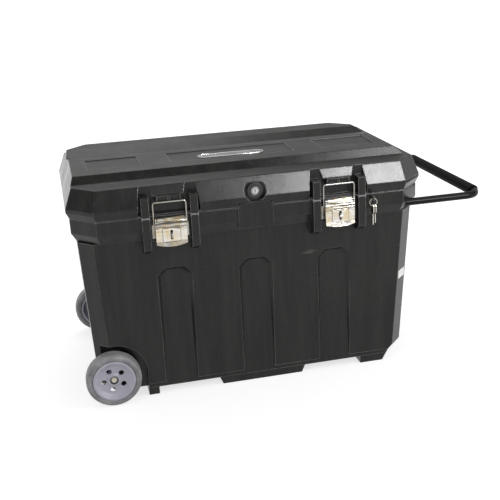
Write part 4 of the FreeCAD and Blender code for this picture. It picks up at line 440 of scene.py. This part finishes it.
def finish_nodes():
    """Give every CAD node its finish, and add the pieces that share one."""
    chrome = bright_metal("polished_chrome", "#dcdcdd", "#d2d2d2", 0.06)
    lever = lever_pressing()
    latch_parts = [f"latch_{side}_{part}" for side in SIDES
                   for part in ("base", "rivets", "pivot_pin", "bail")]
    plain_parts = [f"{part}_{end}" for end in ("front", "rear")
                   for part in ("handle_bush", "handle_plug", "handle_stop", "axle_spacer")]
    finishes = {
        moulded_body("black_moulded_polypropylene", 2.0 * MM): ["tub", "lid"],
        moulded_body("black_moulded_polypropylene_tray", 1.0 * MM): ["tray"],
        smooth_plastic("black_smooth_nylon", "#242425", 0.4): [
            "tray_handle", "lock_bezel", *plain_parts],
        hub_plastic(): ["wheel_front_hub", "wheel_rear_hub"],
        grey_tyre(): ["wheel_front_tyre", "wheel_rear_tyre"],
        smooth_plastic("cream_cap_nylon", "#e9e2cf", 0.4): ["axle_cap_front", "axle_cap_rear"],
        lever: ["latch_left_lever", "latch_right_lever"],
        bright_metal("bright_zinc_plate", "#a9a9a8", "#a39d90", 0.24): [
            *latch_parts, "hinge_pin_left", "hinge_pin_middle", "hinge_pin_right", "lock_nut",
            "lock_cam", "lock_cam_screw", "lock_strike", "lock_strike_screw", "axle"],
        bright_metal("satin_aluminium_badge", "#8f8f90", "#7b7b7c", 0.34): ["badge", "lock_barrel"],
        bright_metal("die_cast_zinc_plug", "#c8c8ca", "#b5b4b6", 0.22): ["lock_plug"],
        bright_metal("nickel_silver", "#dcdbd7", "#c9c2ae", 0.12): [
            "key_ring", "key_first", "key_second"],
        powder_coat(): ["handle_tube"],
        black_rubber("black_grip_sleeve", "#0b0b0b", 0.6): ["handle_grip"],
        black_rubber("black_seal_rubber", "#1a1a1a", 0.6): ["lid_seal"],
        label_paper(): ["blank_label"],
    }
    for material, names in finishes.items():
        for name in names:
            mesh = NODES[name].data
            mesh.materials.clear()
            mesh.materials.append(material)
    badge_rim(chrome)
    for side in SIDES:
        lever_beads(side, lever)


# -------------------------------------------------------------------------------------------
# Pieces of the scene alone
# -------------------------------------------------------------------------------------------
def shaped(name, material, body, edge_width, edge_steps):
    """Round the active object's edges, name it, and give it its material, place and body."""
    piece = bpy.context.object
    edge = piece.modifiers.new("edge", "BEVEL")
    edge.width = edge_width
    edge.segments = edge_steps
    bpy.ops.object.modifier_apply(modifier="edge")
    piece.name = name
    bpy.ops.object.transform_apply(location=True, rotation=True, scale=True)
    bpy.ops.object.shade_smooth_by_angle(angle=SMOOTH_UNDER)
    piece.data.materials.append(material)
    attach(piece, body)


def badge_rim(material):
    """The badge's raised rim: a slot-shaped band round the plate."""
    low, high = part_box("badge")
    middle = (Vector(low) + Vector(high)) / 2
    radius = (high[1] - low[1]) / 2 + RIM_WIDTH
    straight = (high[0] - low[0] + 2 * RIM_WIDTH) / 2 - radius
    lid_top = CAD_BOX[1][2]
    bpy.ops.object.select_all(action="DESELECT")
    bpy.ops.mesh.primitive_circle_add(vertices=RIM_CORNERS, radius=radius, fill_type="NGON",
                                      location=(0, 0, 0))
    piece = bpy.context.object
    for point in piece.data.vertices:
        if abs(point.co.x) > ON_THE_MIDDLE:
            point.co.x += math.copysign(straight, point.co.x)
    bpy.ops.object.mode_set(mode="EDIT")
    bpy.ops.mesh.select_all(action="SELECT")
    bpy.ops.mesh.inset(thickness=RIM_WIDTH, depth=0)
    bpy.ops.mesh.delete(type="FACE")
    bpy.ops.mesh.select_all(action="SELECT")
    bpy.ops.mesh.extrude_region_move(
        TRANSFORM_OT_translate={"value": (0, 0, lid_top - low[2])})
    bpy.ops.mesh.select_all(action="SELECT")
    bpy.ops.mesh.normals_make_consistent(inside=False)
    bpy.ops.object.mode_set(mode="OBJECT")
    piece.location = (middle.x, middle.y, low[2])
    shaped("badge_rim", material, "lid", RIM_EDGE, RIM_EDGE_STEPS)


def lever_beads(side, material):
    """Two pressed beads across the lever, above and below the one that the solid has."""
    low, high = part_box(f"latch_{side}_lever")
    pin_low, pin_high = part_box(f"latch_{side}_pivot_pin")
    pivot = (pin_low[2] + pin_high[2]) / 2
    face = (pin_low[1] + pin_high[1]) / 2 - CURL_RADIUS
    for place, drop in BEAD_DROPS.items():
        bpy.ops.object.select_all(action="DESELECT")
        bpy.ops.mesh.primitive_cylinder_add(
            vertices=BEAD_CORNERS, radius=BEAD_RADIUS, depth=high[0] - low[0] - BEAD_SHORTER,
            location=((low[0] + high[0]) / 2, face + BEAD_RADIUS / 2, pivot - drop),
            rotation=(0, math.pi / 2, 0))
        shaped(f"latch_{side}_bead_{place}", material, f"latch_{side}", BEAD_EDGE,
               BEAD_EDGE_STEPS)


# -------------------------------------------------------------------------------------------
# Studio
# -------------------------------------------------------------------------------------------
def surround():
    """A dim room, and a white sheet low behind the box.

    The camera and clear materials see white all round, and gloss sees white in the sheet.
    """
    world = bpy.data.worlds.new("surround")
    bpy.context.scene.world = world
    world.use_nodes = True
    tree = world.node_tree
    room = tree.nodes["Background"]
    way = node(tree, "SeparateXYZ", Vector=node(tree, "TexCoord").outputs["Generated"])
    behind = node(tree, "MapRange", Value=way.outputs["Y"], From_Min=-0.2, From_Max=0.55)
    low = node(tree, "MapRange", Value=way.outputs["Z"], From_Min=0.03, From_Max=0.34,
               To_Min=1.0, To_Max=0.0)
    sheet = node(tree, "Math", TIMES, i0=behind, i1=low)
    level = node(tree, "MapRange", Value=sheet, To_Min=ROOM_LEVEL, To_Max=SHEET_LEVEL)
    join(tree, room, Color=colour("#ffffff"), Strength=level)
    bright = node(tree, "Background", Color=colour("#ffffff"), Strength=1.0)
    path = node(tree, "LightPath").outputs
    mirrored = node(tree, "Math", TIMES, i0=path["Is Glossy Ray"], i1=sheet)
    direct = node(tree, "Math", HIGHER, i0=path["Is Camera Ray"], i1=path["Is Transmission Ray"])
    share = node(tree, "Math", HIGHER, i0=direct, i1=mirrored)
    seen = node(tree, "MixShader", i0=share, i1=room, i2=bright)
    join(tree, tree.nodes["World Output"], Surface=seen)


def paper_floor():
    """White paper under the box, which grows as white as the backdrop away from it."""
    bpy.ops.object.select_all(action="DESELECT")
    bpy.ops.mesh.primitive_plane_add(size=FLOOR_SIZE, location=(0, 0, 0))
    floor = bpy.context.object
    floor.name = "floor"
    material, tree, shader = new_material("white_paper_floor")
    path = node(tree, "LightPath").outputs
    direct = node(tree, "Math", HIGHER, i0=path["Is Camera Ray"], i1=path["Is Transmission Ray"])
    seen = node(tree, "Math", HIGHER, i0=direct, i1=path["Is Glossy Ray"])
    place = node(tree, "TexCoord").outputs["Object"]
    away = node(tree, "VectorMath", LENGTH, i0=place).outputs["Value"]
    far = node(tree, "MapRange", Value=away, From_Min=GLOW_STARTS, From_Max=GLOW_ENDS,
               To_Min=NEAR_GLOW, To_Max=FAR_GLOW)
    glow = node(tree, "Math", TIMES, i0=seen, i1=far)
    join(tree, shader, Base_Color=colour("#bdbdbd"), Roughness=0.9, Specular_IOR_Level=0.0,
         Emission_Color=colour("#ffffff"), Emission_Strength=glow)
    floor.data.materials.append(material)


def studio():
    """The surround, the floor and the lamps."""
    surround()
    paper_floor()
    for name, place, aim, size, power, gloss, dull in LAMPS:
        lamp = bpy.data.lights.new(name, "AREA")
        lamp.shape = "RECTANGLE"
        lamp.size, lamp.size_y = size
        lamp.energy = power
        light = bpy.data.objects.new(name, lamp)
        bpy.context.collection.objects.link(light)
        light.location = place
        way = Vector(aim) - Vector(place)
        light.rotation_euler = way.to_track_quat("-Z", "Y").to_euler()
        light.visible_glossy = gloss
        light.visible_diffuse = dull
    bpy.context.scene.view_settings.view_transform = "Standard"


set_camera()
studio()
finish_nodes()
